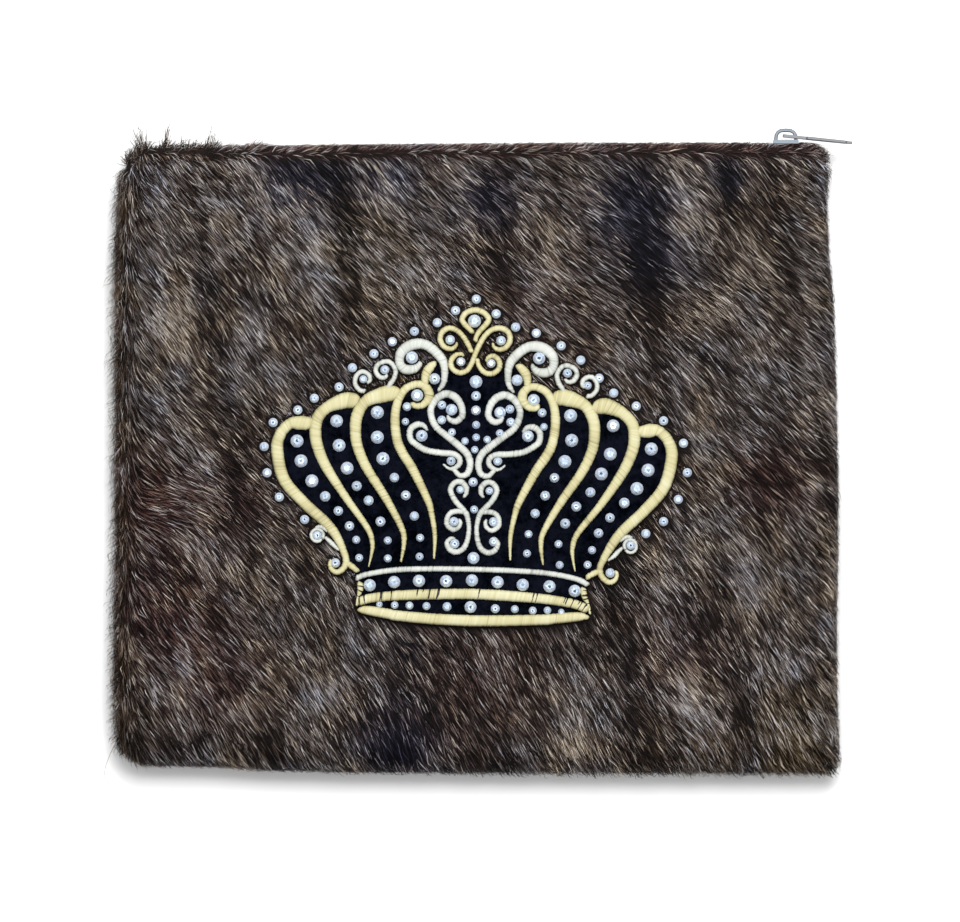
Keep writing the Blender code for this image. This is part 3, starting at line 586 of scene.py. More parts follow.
crown_stones += [(-out, up, size) for _, _, out, up, size in STONE_PAIRS]
crown_stones += CREST_STONES + MIDDLE_STONES
velvet_outline = np.array([chart(*row) for row in VELVET_EDGE + mirrored(VELVET_EDGE)[::-1]])


# The hair. It is short cattle hair, 6 to 12 mm long, growing from the hide and brindled from
# blue-black to grey-brown with pale tips. It lies down and to the right, and stands off a little
# where the hide turns over the rim. It is drawn as narrow ribbons two or three hairs wide.
FRONT_HAIRS = 206000
BACK_HAIRS = 42000
STRIP_HAIRS = 5000
HAIR_LENGTH = (6.0, 11.5)
HAIR_WIDTH = 0.2
GUARD_SHARE = 0.2
PILE = 1.7
LOW_PILE = 1.2
ROOT_DEPTH = 0.2
SIDE_ANGLE = 98
LOWEST = -1.3
STOPS = (0.25, 0.4, 0.55, 0.7, 0.85, 1.0)
CLUMP = 0.65
CLUMP_CELLS = 400
NOISE_CELLS = 260
MASK_CELL = 0.5
MASK_MARGIN = 0.35

# Where the hair lies at which angle below level: across, up the bag, degrees.
LIE = [
    (-145, 258, 50), (-78, 252, 50), (-3, 252, 46), (77, 252, 40), (143, 252, 42), (-149, 186, 56),
    (-101, 186, 54), (-40, 200, 50), (60, 200, 44), (121, 186, 46), (143, 141, 48), (-145, 118, 10),
    (-133, 120, 22), (-147, 136, 52), (-124, 148, 52), (-112, 118, 46), (-144, 100, 52), (-123, 93, 54),
    (-78, 53, 58), (-12, 31, 62), (54, 53, 58), (121, 75, 54), (143, 31, 56), (-149, 31, 60),
    (0, 110, 52),
]
# Pale and dark stripes of the brindle: across, up the bag, half width, half length,
# and how much paler. They run almost straight down the bag, whichever way the hair lies.
STRIPE_LEAN = math.radians(80)
STRIPES = [
    (-147, 252, 12, 27, 0.1), (-138, 201, 9, 12, 0.26), (-113, 241, 9, 22, 0.1), (-76, 237, 8, 26, 0.2),
    (-95, 270, 9, 6, 0.06), (-45, 230, 10, 19, 0.13), (-23, 232, 8, 27, 0.12), (-14, 268, 11, 7, 0.08),
    (31, 241, 7, 22, 0.13), (48, 256, 6, 18, 0.08), (95, 252, 8, 27, 0.2), (120, 225, 9, 20, 0.18),
    (150, 194, 5, 40, 0.13), (104, 198, 12, 13, 0.16), (101, 150, 12, 20, 0.12),
    (-95, 192, 12, 12, 0.15), (-149, 159, 11, 18, 0.06), (-95, 93, 11, 19, 0.06),
    (-70, 39, 10, 13, 0.14), (79, 82, 7, 15, 0.16), (43, 15, 7, 13, 0.24), (26, 34, 6, 12, 0.1),
    (120, 85, 9, 18, 0.18), (94, 36, 7, 15, 0.2), (143, 15, 15, 10, 0.06), (-120, 132, 6, 13, 0.06),
    (-127, 35, 9, 13, 0.05), (72, 132, 5, 13, 0.04), (141, 70, 8, 13, 0.08), (130, 172, 8, 12, 0.06),
    (-78, 264, 16, 7, -0.26), (-58, 245, 5, 23, -0.2), (-55, 208, 6, 15, -0.12),
    (-120, 214, 4, 27, -0.2), (-113, 163, 5, 18, -0.2), (-106, 119, 6, 27, -0.24),
    (-138, 128, 9, 16, -0.16), (-140, 93, 8, 20, -0.14), (-119, 70, 9, 15, -0.16),
    (4, 256, 8, 12, -0.2), (11, 225, 7, 18, -0.2), (50, 222, 5, 18, -0.16), (67, 256, 10, 18, -0.34),
    (76, 212, 11, 23, -0.36), (112, 256, 5, 19, -0.22), (138, 230, 5, 35, -0.22),
    (130, 129, 13, 10, -0.2), (60, 93, 6, 13, -0.2), (64, 62, 9, 19, -0.28), (100, 65, 8, 12, -0.22),
    (-31, 52, 12, 7, -0.24), (-74, 57, 7, 10, -0.14), (24, 53, 12, 7, -0.2), (-34, 13, 14, 11, -0.3),
    (6, 15, 7, 15, -0.18), (72, 15, 7, 18, -0.24), (117, 24, 6, 16, -0.22), (-149, 11, 9, 11, -0.16),
    (-98, 11, 9, 10, -0.1), (39, 208, 7, 7, -0.1), (83, 172, 6, 11, -0.1), (159, 119, 4, 18, -0.06),
    (-78, 93, 7, 12, -0.1), (-140, 57, 8, 12, -0.1), (-12, 230, 5, 11, -0.06), (112, 240, 24, 22, -0.1),
    (-10, 28, 34, 18, -0.12), (-131, 152, 26, 42, 0.06), (-110, 60, 40, 40, 0.015),
]


def in_outline(px, py, outline):
    """True where a place lies inside a closed outline."""
    inside = np.zeros(px.shape, bool)
    for (x0, y0), (x1, y1) in zip(outline, np.roll(outline, -1, axis=0)):
        if y0 != y1:
            crosses = (y0 > py) != (y1 > py)
            inside ^= crosses & (px < (x1 - x0) * (py - y0) / (y1 - y0) + x0)
    return inside


# Ground that the crown and its stones cover, on a fine raster in bag millimetres.
MASK_X, MASK_Y = np.arange(-102, 102, MASK_CELL), np.arange(55, 215, MASK_CELL)
mask_px, mask_py = np.meshgrid(MASK_X + MASK_CELL / 2, MASK_Y + MASK_CELL / 2)
covered = in_outline(mask_px, mask_py, velvet_outline)


def cover_disc(x, y, radius):
    """Mark the ground under a round spot."""
    i = int((x - MASK_X[0]) / MASK_CELL)
    j = int((y - MASK_Y[0]) / MASK_CELL)
    k = int(radius / MASK_CELL) + 2
    window = (slice(max(j - k, 0), j + k + 1), slice(max(i - k, 0), i + k + 1))
    covered[window] |= (mask_px[window] - x) ** 2 + (mask_py[window] - y) ** 2 < radius ** 2


for strokes in (*GOLD_STROKES.values(), *SILVER_STROKES.values()):
    for rows in strokes:
        for x, y, width in smooth_line(rows, 0.8)[0]:
            cover_disc(x, y, width / 2 + MASK_MARGIN)
for out, up, diameter in crown_stones:
    cover_disc(*chart(out, up), diameter * SQUARE / 2 + MASK_MARGIN)
for out, up in OUTER_STONES:
    cover_disc(*chart(out, up), OUTER_DIAMETER * SQUARE / 2 + 2 * MASK_MARGIN)


def is_covered(x, y):
    i = ((x - MASK_X[0]) / MASK_CELL).astype(int)
    j = ((y - MASK_Y[0]) / MASK_CELL).astype(int)
    ok = (i >= 0) & (j >= 0) & (i < len(MASK_X)) & (j < len(MASK_Y))
    return ok & covered[np.where(ok, j, 0), np.where(ok, i, 0)]


def soft_noise(x, y, scale, seed):
    """Smooth noise from 0 to 1 whose blots are about as wide as the scale."""
    field = np.random.default_rng(seed).random((NOISE_CELLS, NOISE_CELLS))
    gx, gy = x / scale + 120, y / scale + 120
    i, j = (np.floor(g).astype(int) % (NOISE_CELLS - 1) for g in (gx, gy))
    fx, fy = gx - np.floor(gx), gy - np.floor(gy)
    fx, fy = fx * fx * (3 - 2 * fx), fy * fy * (3 - 2 * fy)
    low = field[j, i] * (1 - fx) + field[j, i + 1] * fx
    high = field[j + 1, i] * (1 - fx) + field[j + 1, i + 1] * fx
    return low * (1 - fy) + high * fy


def scatter(obj, count, rng):
    """Random places on a piece's faces, thicker on the left side, with the faces' normals."""
    mesh = obj.data
    mesh.calc_loop_triangles()
    corners = np.empty(len(mesh.loop_triangles) * 3, np.int32)
    mesh.loop_triangles.foreach_get("vertices", corners)
    a, b, c = from_frame(read_points(mesh))[corners.reshape(-1, 3)].transpose(1, 0, 2)
    cross = np.cross(b - a, c - a)
    area = np.linalg.norm(cross, axis=1)
    share = area * (1 + 2.0 * hold(-cross[:, 0] / area - 0.25))
    chosen = rng.choice(len(area), count, p=share / share.sum())
    u, v = rng.random((2, count))
    flip = u + v > 1
    u, v = np.where(flip, 1 - u, u)[:, None], np.where(flip, 1 - v, v)[:, None]
    places = a[chosen] + (b - a)[chosen] * u + (c - a)[chosen] * v
    return places, cross[chosen] / area[chosen][:, None]


# The rim's profile: distance over it from the middle seam, inset from the edge, and rise.
profile_turn = np.linspace(-math.pi / 2, math.pi / 2, 121)


def profile_table(front_rise, back_rise):
    rise = np.where(profile_turn > 0, front_rise, back_rise)
    inset = RIM * (1 - np.cos(profile_turn))
    height = rise * np.sin(profile_turn)
    walk = np.concatenate([[0], np.cumsum(np.hypot(np.diff(inset), np.diff(height)))])
    walk -= np.interp(0, profile_turn, walk)
    return walk, inset, height


def edge_of(x, y):
    """Inset from the bag's outline, and the direction straight out to it."""
    past_x = abs(x) - (half_width(y) - CORNER)
    past_y = abs(y - HALF_HEIGHT) - (HALF_HEIGHT - CORNER)
    corner = (past_x > 0) & (past_y > 0)
    sides = past_x > past_y
    out_x = np.where(corner, past_x, sides) * np.sign(x)
    out_y = np.where(corner, past_y, ~sides) * np.sign(y - HALF_HEIGHT)
    size = np.maximum(np.hypot(out_x, out_y), TINY)
    reach = np.where(corner, np.hypot(past_x, past_y), np.maximum(past_x, past_y))
    return CORNER - reach, out_x / size, out_y / size


def lie_of(x, y):
    """Angle of the hair below level, blended from the table."""
    weights, total = 0, 0
    for place_x, place_y, angle in LIE:
        weight = ((x - place_x) ** 2 + (y - place_y) ** 2 + 60) ** -1.4
        weights = weights + weight
        total = total + weight * angle
    return total / weights


def shade_of(x, y):
    """How pale the coat is at a place, from 0 to 1, before the single hairs vary."""
    along_x, along_y = math.cos(STRIPE_LEAN), -math.sin(STRIPE_LEAN)
    walk = x * along_x + y * along_y
    side = x * along_y - y * along_x
    shade = 0.36 + 0.20 * (soft_noise(walk / 2.4, side, 11, 3) - 0.5)
    shade += 0.24 * (soft_noise(walk / 2.0, side, 5.5, 5) - 0.5)
    shade += 0.16 * (soft_noise(x, y, 3, 7) - 0.5)
    for place_x, place_y, wide, long, strength in STRIPES:
        dx, dy = x - place_x, y - place_y
        walk = (dx * along_x + dy * along_y) / (1.25 * long)
        side = (dx * along_y - dy * along_x) / (1.25 * wide)
        shade += 1.15 * strength * np.exp(-1.4 * (walk * walk + side * side))
    return shade


def find_clumps(x, y, size, seed):
    """Number of the lock that each hair leans into."""
    jitter = np.random.default_rng(seed).random((CLUMP_CELLS, CLUMP_CELLS, 2))
    cell_x, cell_y = np.floor(x / size).astype(int), np.floor(y / size).astype(int)
    best = np.full(x.shape, 1e9)
    number = np.zeros(x.shape, int)
    for step_x in (-1, 0, 1):
        for step_y in (-1, 0, 1):
            i, j = cell_x + step_x, cell_y + step_y
            spot = jitter[j % CLUMP_CELLS, i % CLUMP_CELLS]
            gap = np.hypot((i + spot[..., 0]) * size - x, (j + spot[..., 1]) * size - y)
            nearer = gap < best
            best = np.where(nearer, gap, best)
            here = (j % CLUMP_CELLS) * CLUMP_CELLS + i % CLUMP_CELLS
            number = np.where(nearer, here, number)
    return number


COAT = np.array([linear(c) for c in ("050303", "110a09", "2b201c", "544943", "857c77", "b3ada9")])
COAT_STOPS = (0.0, 0.2, 0.42, 0.62, 0.82, 1.0)
# Casts over the dark hairs: across, up, reach, and colour (blue-black, liver and olive).
CASTS = [
    (-78, 264, 18, "161a2c"), (-40, 262, 12, "161a2c"), (4, 252, 14, "16182a"), (67, 250, 18, "14182a"),
    (74, 226, 14, "16182a"), (-34, 13, 18, "141830"), (112, 262, 10, "181a28"), (-30, 52, 10, "1a1a24"),
    (-143, 120, 22, "3a1f1c"), (-138, 70, 26, "3a201e"), (-115, 40, 22, "35201e"),
    (-106, 119, 14, "2c1c1c"), (130, 128, 16, "351c1a"), (90, 52, 20, "30201f"), (0, 40, 30, "33221f"),
    (-45, 225, 22, "3a3024"), (143, 12, 20, "3c3018"), (100, 12, 16, "382a18"), (30, 200, 30, "2e2220"),
]


def unit(vectors):
    """The same directions with length 1."""
    return vectors / np.maximum(np.linalg.norm(vectors, axis=1), TINY)[:, None]


def add_object(name, data):
    """Put new data in the scene as a piece at the origin."""
    obj = bpy.data.objects.new(name, data)
    bpy.context.scene.collection.objects.link(obj)
    return obj


def make_ribbons(name, corners, colours):
    """Build the hairs' mesh: two faces to a ribbon, a colour to a corner, and a map."""
    count = len(corners)
    mesh = bpy.data.meshes.new(name)
    mesh.vertices.add(count * 5)
    mesh.vertices.foreach_set("co", to_frame(corners).astype(np.float32).ravel())
    numbers = np.arange(count)[:, None]
    mesh.loops.add(count * 7)
    turns = numbers * 5 + np.array([0, 1, 2, 3, 3, 2, 4])
    mesh.loops.foreach_set("vertex_index", turns.astype(np.int32).ravel())
    mesh.polygons.add(count * 2)
    starts = numbers * 7 + np.array([0, 4])
    mesh.polygons.foreach_set("loop_start", starts.astype(np.int32).ravel())
    mesh.update(calc_edges=True)
    tint = mesh.color_attributes.new("coat", "FLOAT_COLOR", "POINT")
    rgba = np.ones((count * 5, 4), np.float32)
    rgba[:, :3] = colours.reshape(-1, 3)
    tint.data.foreach_set("color", rgba.ravel())

    # Each ribbon has a small cell of its own in the map, with its length up the cell.
    cells = int(math.ceil(math.sqrt(count)))
    cell_u = np.array([0.15, 0.85, 0.85, 0.15, 0.15, 0.85, 0.5])
    cell_v = np.array([0.08, 0.08, 0.5, 0.5, 0.5, 0.5, 0.92])
    uv = np.stack([numbers % cells + cell_u, numbers // cells + cell_v], 2) / cells
    layer = mesh.uv_layers.new(name="OFBake")
    layer.data.foreach_set("uv", uv.astype(np.float32).ravel())
    return mesh


def grow(name, places, normals, seed, pile=PILE):
    """Grow one piece of the coat from its roots: bent ribbons with a colour for each end."""
    rng = np.random.default_rng(seed)
    count = len(places)
    x, y, z = places.T
    inset, out_x, out_y = edge_of(x, y)
    walk_table, inset_table, height_table = profile_table(FRONT_RISE, MID)
    height = z - MID
    face = np.where(height >= 0, 1, -1)
    rim_end = np.where(height >= 0, walk_table[-1], walk_table[0])
    start = np.where(
        inset < RIM, np.interp(height, height_table, walk_table), rim_end + face * (inset - RIM)
    )
    clump = find_clumps(x, y + z, CLUMP, seed)
    clump_random = np.random.default_rng(seed + 1).random((CLUMP_CELLS ** 2, 4))[clump]
    angle = np.radians(
        lie_of(x, y) + 16 * (soft_noise(x, y, 24, 11) - 0.5) + 14 * (clump_random[:, 0] - 0.5)
        + rng.normal(0, 5, count)
    )
    # Towards the left side the hair turns down and over the edge, and some of it stands off.
    # Along the zip it runs with the strip, and bristles upwards at the left end. At the foot and
    # the lower right corner it hangs over a little. Insets are in millimetres.
    swing = hold(-1.4 * out_x) * hold((7.5 - inset) / 7)
    angle += swing * (np.radians(SIDE_ANGLE) - angle)
    bristle = hold((-92 - x) / 40)
    top_edge = (out_y > 0.25) & (y > HEIGHT - STRIP - 0.3)
    upright = (out_y > 0.25) * hold((4 - 1.5 * bristle - inset) / 0.8)
    wanted = -np.radians(34 + 30 * bristle + 48 * hold(-out_x))
    angle += upright * (wanted + rng.normal(0, 0.25, count) - angle)
    angle += (swing + upright * bristle) * rng.normal(0, 0.22, count)
    left_edge = (swing > 0.75) & ~top_edge
    hang = hold(-1.4 * out_y) * hold((9 - inset) / 6) * hold((x + 130) / 180)
    corner = hang * hold(1.8 * out_x) * hold((6 - inset) / 4)
    lie_x, lie_y = np.cos(angle), -np.sin(angle)
    outward = lie_x * out_x + lie_y * out_y
    onward = lie_x * out_y - lie_y * out_x
    stray = rng.random(count) ** 4
    # The wider, paler guard hairs stand a little higher than the rest.
    guard = rng.random(count) < GUARD_SHARE
    lift = 1 + 0.35 * guard + swing ** 3 * (0.1 + 2.4 * stray)
    spikes = hold(1.8 * soft_noise(x, y, 4.4, 17) - 0.5)
    lift += upright * ((14 * stray + 1.5) * spikes - 0.2) * bristle
    lift -= 0.45 * top_edge * (1 - bristle)
    lift += hang * (0.2 + 1.3 * stray) + 1.8 * corner
    tuft = soft_noise(x * 1.3, y, 3.2, 13) ** 2

    reach = rng.uniform(*HAIR_LENGTH, count) * (0.85 + 0.3 * clump_random[:, 1])
    reach *= np.where(left_edge | top_edge, rng.uniform(0.35, 0.7, count) + 0.4 * tuft, 1)

    def along(distance, rise):
        """Where a hair is after lying that far along the hide, held that high off it."""
        walk = start - face * outward * distance
        flat = np.maximum(walk - walk_table[-1], 0) + np.maximum(walk_table[0] - walk, 0)
        clipped = np.clip(walk, walk_table[0], walk_table[-1])
        new_inset = np.interp(clipped, walk_table, inset_table) + flat
        new_height = np.interp(clipped, walk_table, height_table)
        slope = np.interp(clipped, walk_table, profile_turn)
        shift = inset - new_inset
        px = x + out_x * shift + out_y * onward * distance
        py = y + out_y * shift - out_x * onward * distance
        swell = np.where(new_height > 0, dome(px, py) * hold(new_height / FRONT_RISE), 0)
        px = px + out_x * np.cos(slope) * rise
        py = py + out_y * np.cos(slope) * rise
        return np.stack([px, py, MID + new_height + swell + np.sin(slope) * rise], 1)

    # A hair that would cross the crown or a stone is laid short of it.
    free = np.ones(count)
    for part in STOPS:
        spot = along(reach * part, 0)
        hit = is_covered(spot[:, 0], spot[:, 1]) & (free == 1) & (height > 0)
        free = np.where(hit, max(part - 0.2, 0.12), free)
    reach = reach * free

    rise_mid = pile * rng.uniform(0.5, 1.1, count) * lift * np.where(free < 1, 0.7, 1)
    rise_tip = pile * (rng.uniform(0.2, 1.25, count) + 0.3 * clump_random[:, 2]) * lift
    rise_tip = rise_tip * np.where(free < 1, 0.8, 1)
    root = along(np.zeros(count), -ROOT_DEPTH)
    middle = along(reach * 0.5, rise_mid)
    tip = along(reach, rise_tip)

    # The tips of a lock lean together.
    members = np.bincount(clump)[clump]
    gather = [np.bincount(clump, weights=root[:, k])[clump] / members for k in range(3)]
    toward = np.stack(gather, 1) - root
    near = (np.linalg.norm(toward, axis=1) < 2 * CLUMP) & (free == 1)
    pull = (near * rng.uniform(0.2, 0.9, count))[:, None]
    middle = middle + toward * pull * 0.2
    tip = tip + toward * pull * 0.45

    broad = np.cross(unit(tip - root), normals) + normals * rng.normal(0, 0.45, count)[:, None]
    broad = unit(broad)
    # Two corners at the root, two at the middle and one at the tip.
    width = HAIR_WIDTH * (rng.uniform(0.6, 1.2, count) + 0.5 * guard)[:, None] / 2
    middle = middle + broad * rng.normal(0, 0.3, count)[:, None]
    corners = np.stack([
        root - broad * width * 0.8, root + broad * width * 0.8,
        middle + broad * width, middle - broad * width, tip,
    ], 1)
    corners[..., 2] = np.maximum(corners[..., 2], LOWEST)
    corners = sway(corners)

    # Colours: dark at the root, partly as painted shade among the hairs, and paler to the tip, tinged
    # by the casts, most where it's dark.
    seen_x, seen_y = (root + tip)[:, :2].T / 2
    shade = shade_of(seen_x, seen_y) + 0.5 * (clump_random[:, 3] - 0.5)
    # Painted light: along the seam under the zip strip the hair is painted paler and its roots less
    # dark, against the seam's shade.
    seam_painted_light = np.exp(-((y - HEIGHT + STRIP) / 2.5) ** 2) * (out_y > 0.25)
    # Painted shade: the hair at the left edge is painted darker, where the rim turns away from the
    # light.
    shade += rng.normal(0, 0.2, count) + 0.02 * top_edge - 0.06 * swing + 0.12 * seam_painted_light
    tip_shade = hold(shade + np.where(guard, 0.36, -0.03))
    mid_shade = hold(shade + np.where(guard, 0.26, -0.12))
    # Roots painted dark: their own colour plus painted shade among the hairs, less of it along the
    # seam.
    root_shade = hold(shade - 0.6 + 0.4 * seam_painted_light)
    casts = [
        (0.85 * np.exp(-((seen_x - at_x) ** 2 + (seen_y - at_y) ** 2) / size ** 2), linear(colour))
        for at_x, at_y, size, colour in CASTS
    ]
    casts.append((1.5 * np.maximum(swing ** 2, top_edge * bristle), linear("43301d")))
    casts.append((0.9 * top_edge * (1 - bristle), linear("2e1816")))

    warm = 0.26 * (soft_noise(seen_x, seen_y, 11, 19) - 0.47) + rng.normal(0, 0.05, count)
    tinge = np.stack([1 + warm, 1 + 0.35 * warm, 1 - warm], 1)

    def paint(value):
        colour = np.stack([np.interp(value, COAT_STOPS, COAT[:, k]) for k in range(3)], 1) * tinge
        light = colour.mean(1)[:, None]
        for weight, cast in casts:
            share = np.clip(weight * hold(1.6 - value * 1.8), 0, 0.95)[:, None]
            colour = colour * (1 - share) + np.array(cast) / np.mean(cast) * light * share
        return colour

    shades = (root_shade, root_shade, mid_shade, mid_shade, tip_shade)
    obj = add_object(name, make_ribbons(name, corners, np.stack([paint(s) for s in shades], 1)))
    obj.data.materials.append(hair)
    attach(obj, "bag")
    return obj


# Cattle hair takes its colour from the corners of each ribbon.
hair = surface("cattle hair", "3b2f29", 0.6, Specular_IOR_Level=0.08)
feed(hair, "Base Color", node(hair, "ShaderNodeVertexColor", layer_name="coat").outputs["Color"])

rng = np.random.default_rng(20)
places, normals = scatter(hide_pieces["front", "panel"], FRONT_HAIRS, rng)
# Hair rooted just under the crown's edge comes out from beneath it; the rest there is clipped.
lie = np.radians(lie_of(places[:, 0], places[:, 1]))
for step in range(6):
    under = is_covered(places[:, 0], places[:, 1]) * 0.5
    old_z = front_z(places[:, 0], places[:, 1])
    places[:, 0] += under * np.cos(lie)
    places[:, 1] -= under * np.sin(lie)
    places[:, 2] += front_z(places[:, 0], places[:, 1]) - old_z
bare = is_covered(places[:, 0], places[:, 1])
places, normals = places[~bare], normals[~bare]
bands = np.quantile(places[:, 0], (1 / 3, 2 / 3))
band = np.digitize(places[:, 0], bands)
front_hair = [
    grow(f"front_hair_{number + 1}", places[band == number], normals[band == number], 30 + number)
    for number in range(3)
]
places, normals = scatter(hide_pieces["back", "panel"], BACK_HAIRS, rng)
coats = {
    ("front", "panel"): front_hair,
    ("back", "panel"): [grow("back_hair", places, normals, 41, LOW_PILE)],
}
for number, face in enumerate(("front", "back")):
    places, normals = scatter(hide_pieces[face, "strip"], STRIP_HAIRS, rng)
    coats[face, "strip"] = [grow(f"{face}_strip_hair", places, normals, 50 + number, LOW_PILE)]

# One long hair has worked loose at the lower left corner.
loose_line = bpy.data.curves.new("loose_hair", "CURVE")
loose_line.dimensions = "3D"
loose_line.bevel_depth = 0.09 * MM
loose_line.bevel_resolution = 1
run = loose_line.splines.new("NURBS")
loose_path = [(-158.5, 15, 14), (-161, 11, 13), (-165.5, 1, 10), (-166.4, -4, 8), (-163.6, -7.5, 6.5)]
run.points.add(len(loose_path) - 1)
for point, place in zip(run.points, to_frame(np.array(loose_path))):
    point.co = (*place, 1)
run.use_endpoint_u = True
run.resolution_u = 8
pick(add_object("loose_hair", loose_line))
bpy.ops.object.convert(target="MESH")
loose_hair = bpy.context.object
# A paler, tan hair than those of the coat.
loose_hair.data.materials.append(surface("tan cattle hair", "6f6050", 0.5))
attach(loose_hair, "bag")

for key, piece in hide_pieces.items():
    write_points(piece.data, to_frame(sway(from_frame(read_points(piece.data)))))
    give_wall(piece, WALL)


# The velvet ground. A black cotton velvet about 1.5 mm thick is cut to the crown's outline and
# sewn on the clipped hide, and the satin stitches round it hide its raw edge.
GROUND_LOW = 0.3
GROUND_TOP = 1.8
GROUND_CELLS = (88, 72)
GROUND_HALF = (92, 62)
GROUND_MIDDLE = (CROWN_CENTRE[0], CROWN_CENTRE[1] - 14)


# Cut pile swallows the light; faint blue-black blots of painted shade and sheen stand for where it
# leans.
velvet = surface("black cotton velvet", "070910", 1, Specular_IOR_Level=0)
nap_and_shade = noise(velvet, 9.0909, 7, 0.85)
tint_by(velvet, nap_and_shade, (0.4, "010204"), (0.6, "0d0f18"))
emboss(velvet, nap_and_shade, 0.5, 0.3)

deselect()
bpy.ops.mesh.primitive_grid_add(
    x_subdivisions=GROUND_CELLS[0], y_subdivisions=GROUND_CELLS[1], size=2
)
ground = bpy.context.object
ground.name = ground.data.name = "velvet_ground"
ground_x, ground_y = (GROUND_MIDDLE + GROUND_HALF * read_points(ground.data)[:, :2]).T
ground_z = front_z(ground_x, ground_y) + GROUND_TOP
write_points(ground.data, to_frame(np.stack([ground_x, ground_y, ground_z], 1)))
give_wall(ground, GROUND_TOP - GROUND_LOW)

# A pattern with the crown's outline, thicker than the velvet on both sides, cuts it to shape.
PATTERN_HEIGHT = 20
PATTERN_DEPTH = 30
cutter_mesh = bpy.data.meshes.new("velvet_cutter")
cutter_points = to_frame([(x, y, PATTERN_HEIGHT) for x, y in velvet_outline]).tolist()
cutter_mesh.from_pydata(cutter_points, [], [list(range(len(cutter_points)))])
cutter = add_object("velvet_cutter", cutter_mesh)
pattern = cutter.modifiers.new("depth", "SOLIDIFY")
pattern.thickness = PATTERN_DEPTH * MM
pattern.offset = 0
cut = ground.modifiers.new("cut", "BOOLEAN")
cut.operation = "INTERSECT"
cut.solver = "EXACT"
cut.object = cutter
pick(ground)
bpy.ops.object.modifier_apply(modifier=cut.name)
bpy.data.objects.remove(cutter)
finish_mesh(ground)
ground.data.materials.clear()
ground.data.materials.append(velvet)
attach(ground, "bag")


# The stitches. Gold and silver-coloured rayon thread is laid side by side over a foam core, so
# each stroke is a rounded cord with fine threads slanting across it, sewn down at both edges.
STITCH_FOOT = 0.5
STITCH_TOP = 4.2
THREAD_PITCH = 0.52
THREAD_SLANT = 0.22
SECTION = 9
NICK_TONE = -4.5


def satin(name, strokes, material, seed):
    """Lay one piece's strokes as rows of slanting threads, each stroke a closed body."""
    rng = np.random.default_rng(seed)
    points, faces, tones = [], [], []
    across_steps = np.sin(np.linspace(-1, 1, SECTION) * math.pi / 2)
    bulge = (1 - abs(across_steps) ** 5) ** 0.5
    for number, rows in enumerate(strokes):
        line, stops = smooth_line(rows, THREAD_PITCH / 2)
        spots = line[:, :2]
        ahead = unit(np.vstack([spots[1:], spots[-1:]]) - np.vstack([spots[:1], spots[:-1]]))
        side = np.stack([-ahead[:, 1], ahead[:, 0]], 1)
        count = len(line)
        even = np.arange(count) % 2 == 0
        ridge = np.where(even, 0.02, -0.02) + rng.normal(0, 0.02, count)
        ends = hold(np.minimum(stops, stops[-1] - stops) / (line[:, 2] * 0.45 + 0.01))
        ends = np.sqrt(1 - (1 - ends) ** 2) * 0.85 + 0.15
        tone = rng.normal(0, 0.24, count)
        # Painted shade: every second row, the low one between two crests, is painted darker.
        tone = np.where(even, tone, np.roll(tone, 1) - 0.12)
        tone = np.repeat(tone[:, None], SECTION + 2, 1)
        # Painted shade: each stroke is painted darker towards both edges, where its threads turn down
        # away from the light.
        tone += 0.12 - 0.55 * abs(np.linspace(-1, 1, SECTION + 2)) ** 3
        tone += 0.9 * (soft_noise(line[:, 0], line[:, 1], 5, 31) - 0.5)[:, None]
        if name == "gold_rim":
            # The rim's threads are painted paler, partly as a painted highlight. They part in short
            # black nicks, most of them near the ends of the upper band.
            tone += 0.25
            nick = (rng.random(count) < 0.03 + 0.13 * (abs(line[:, 0]) > 38)) & (number != 1)
            deep = 1 - rng.uniform(0.15, 0.9, count)[:, None]
            nick = (nick | np.roll(nick, 1))[:, None] & (np.linspace(0, 1, SECTION + 2) > deep)
            tone = np.where(nick, NICK_TONE, tone)
        base = len(points)
        half = (line[:, 2] / 2 * (0.3 + 0.7 * ends) + rng.normal(0, 0.07, count))[:, None]
        shift = across_steps * line[:, 2:] / 2 * THREAD_SLANT
        spot_x, spot_y = (
            spots[:, k:k + 1] + side[:, k:k + 1] * half * across_steps + ahead[:, k:k + 1] * shift
            for k in (0, 1)
        )
        shoulder = GROUND_TOP - 0.2
        tall = np.minimum(STITCH_TOP, shoulder + 1.0 + 0.62 * line[:, 2])[:, None] - shoulder
        lift = shoulder + (tall + ridge[:, None]) * bulge * ends[:, None]
        top = np.stack([spot_x, spot_y, front_z(spot_x, spot_y) + lift], 2)
        foot = top[:, [0, -1]].copy()
        foot[..., 2] = front_z(foot[..., 0], foot[..., 1]) + STITCH_FOOT
        ring = np.concatenate([foot[:, :1], top, foot[:, 1:]], 1)
        size = ring.shape[1]
        points.extend(ring.reshape(-1, 3))
        tones.extend(tone.ravel())
        for i in range(count - 1):
            for j in range(size):
                k = (j + 1) % size
                a, b = base + i * size, base + (i + 1) * size
                faces.append((a + j, b + j, b + k, a + k))
        faces.append([base + j for j in range(size)])
        faces.append([base + (count - 1) * size + j for j in reversed(range(size))])
    mesh = bpy.data.meshes.new(f"{name}_stitches")
    mesh.from_pydata(to_frame(np.array(points)).tolist(), [], faces)
    mesh.update()
    tint = mesh.attributes.new("thread_tone_and_shade", "FLOAT", "POINT")
    tint.data.foreach_set("value", np.array(tones, np.float32))
    obj = add_object(mesh.name, mesh)
    mesh.materials.append(material)
    finish_mesh(obj, 70)
    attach(obj, "bag")
    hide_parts(name)


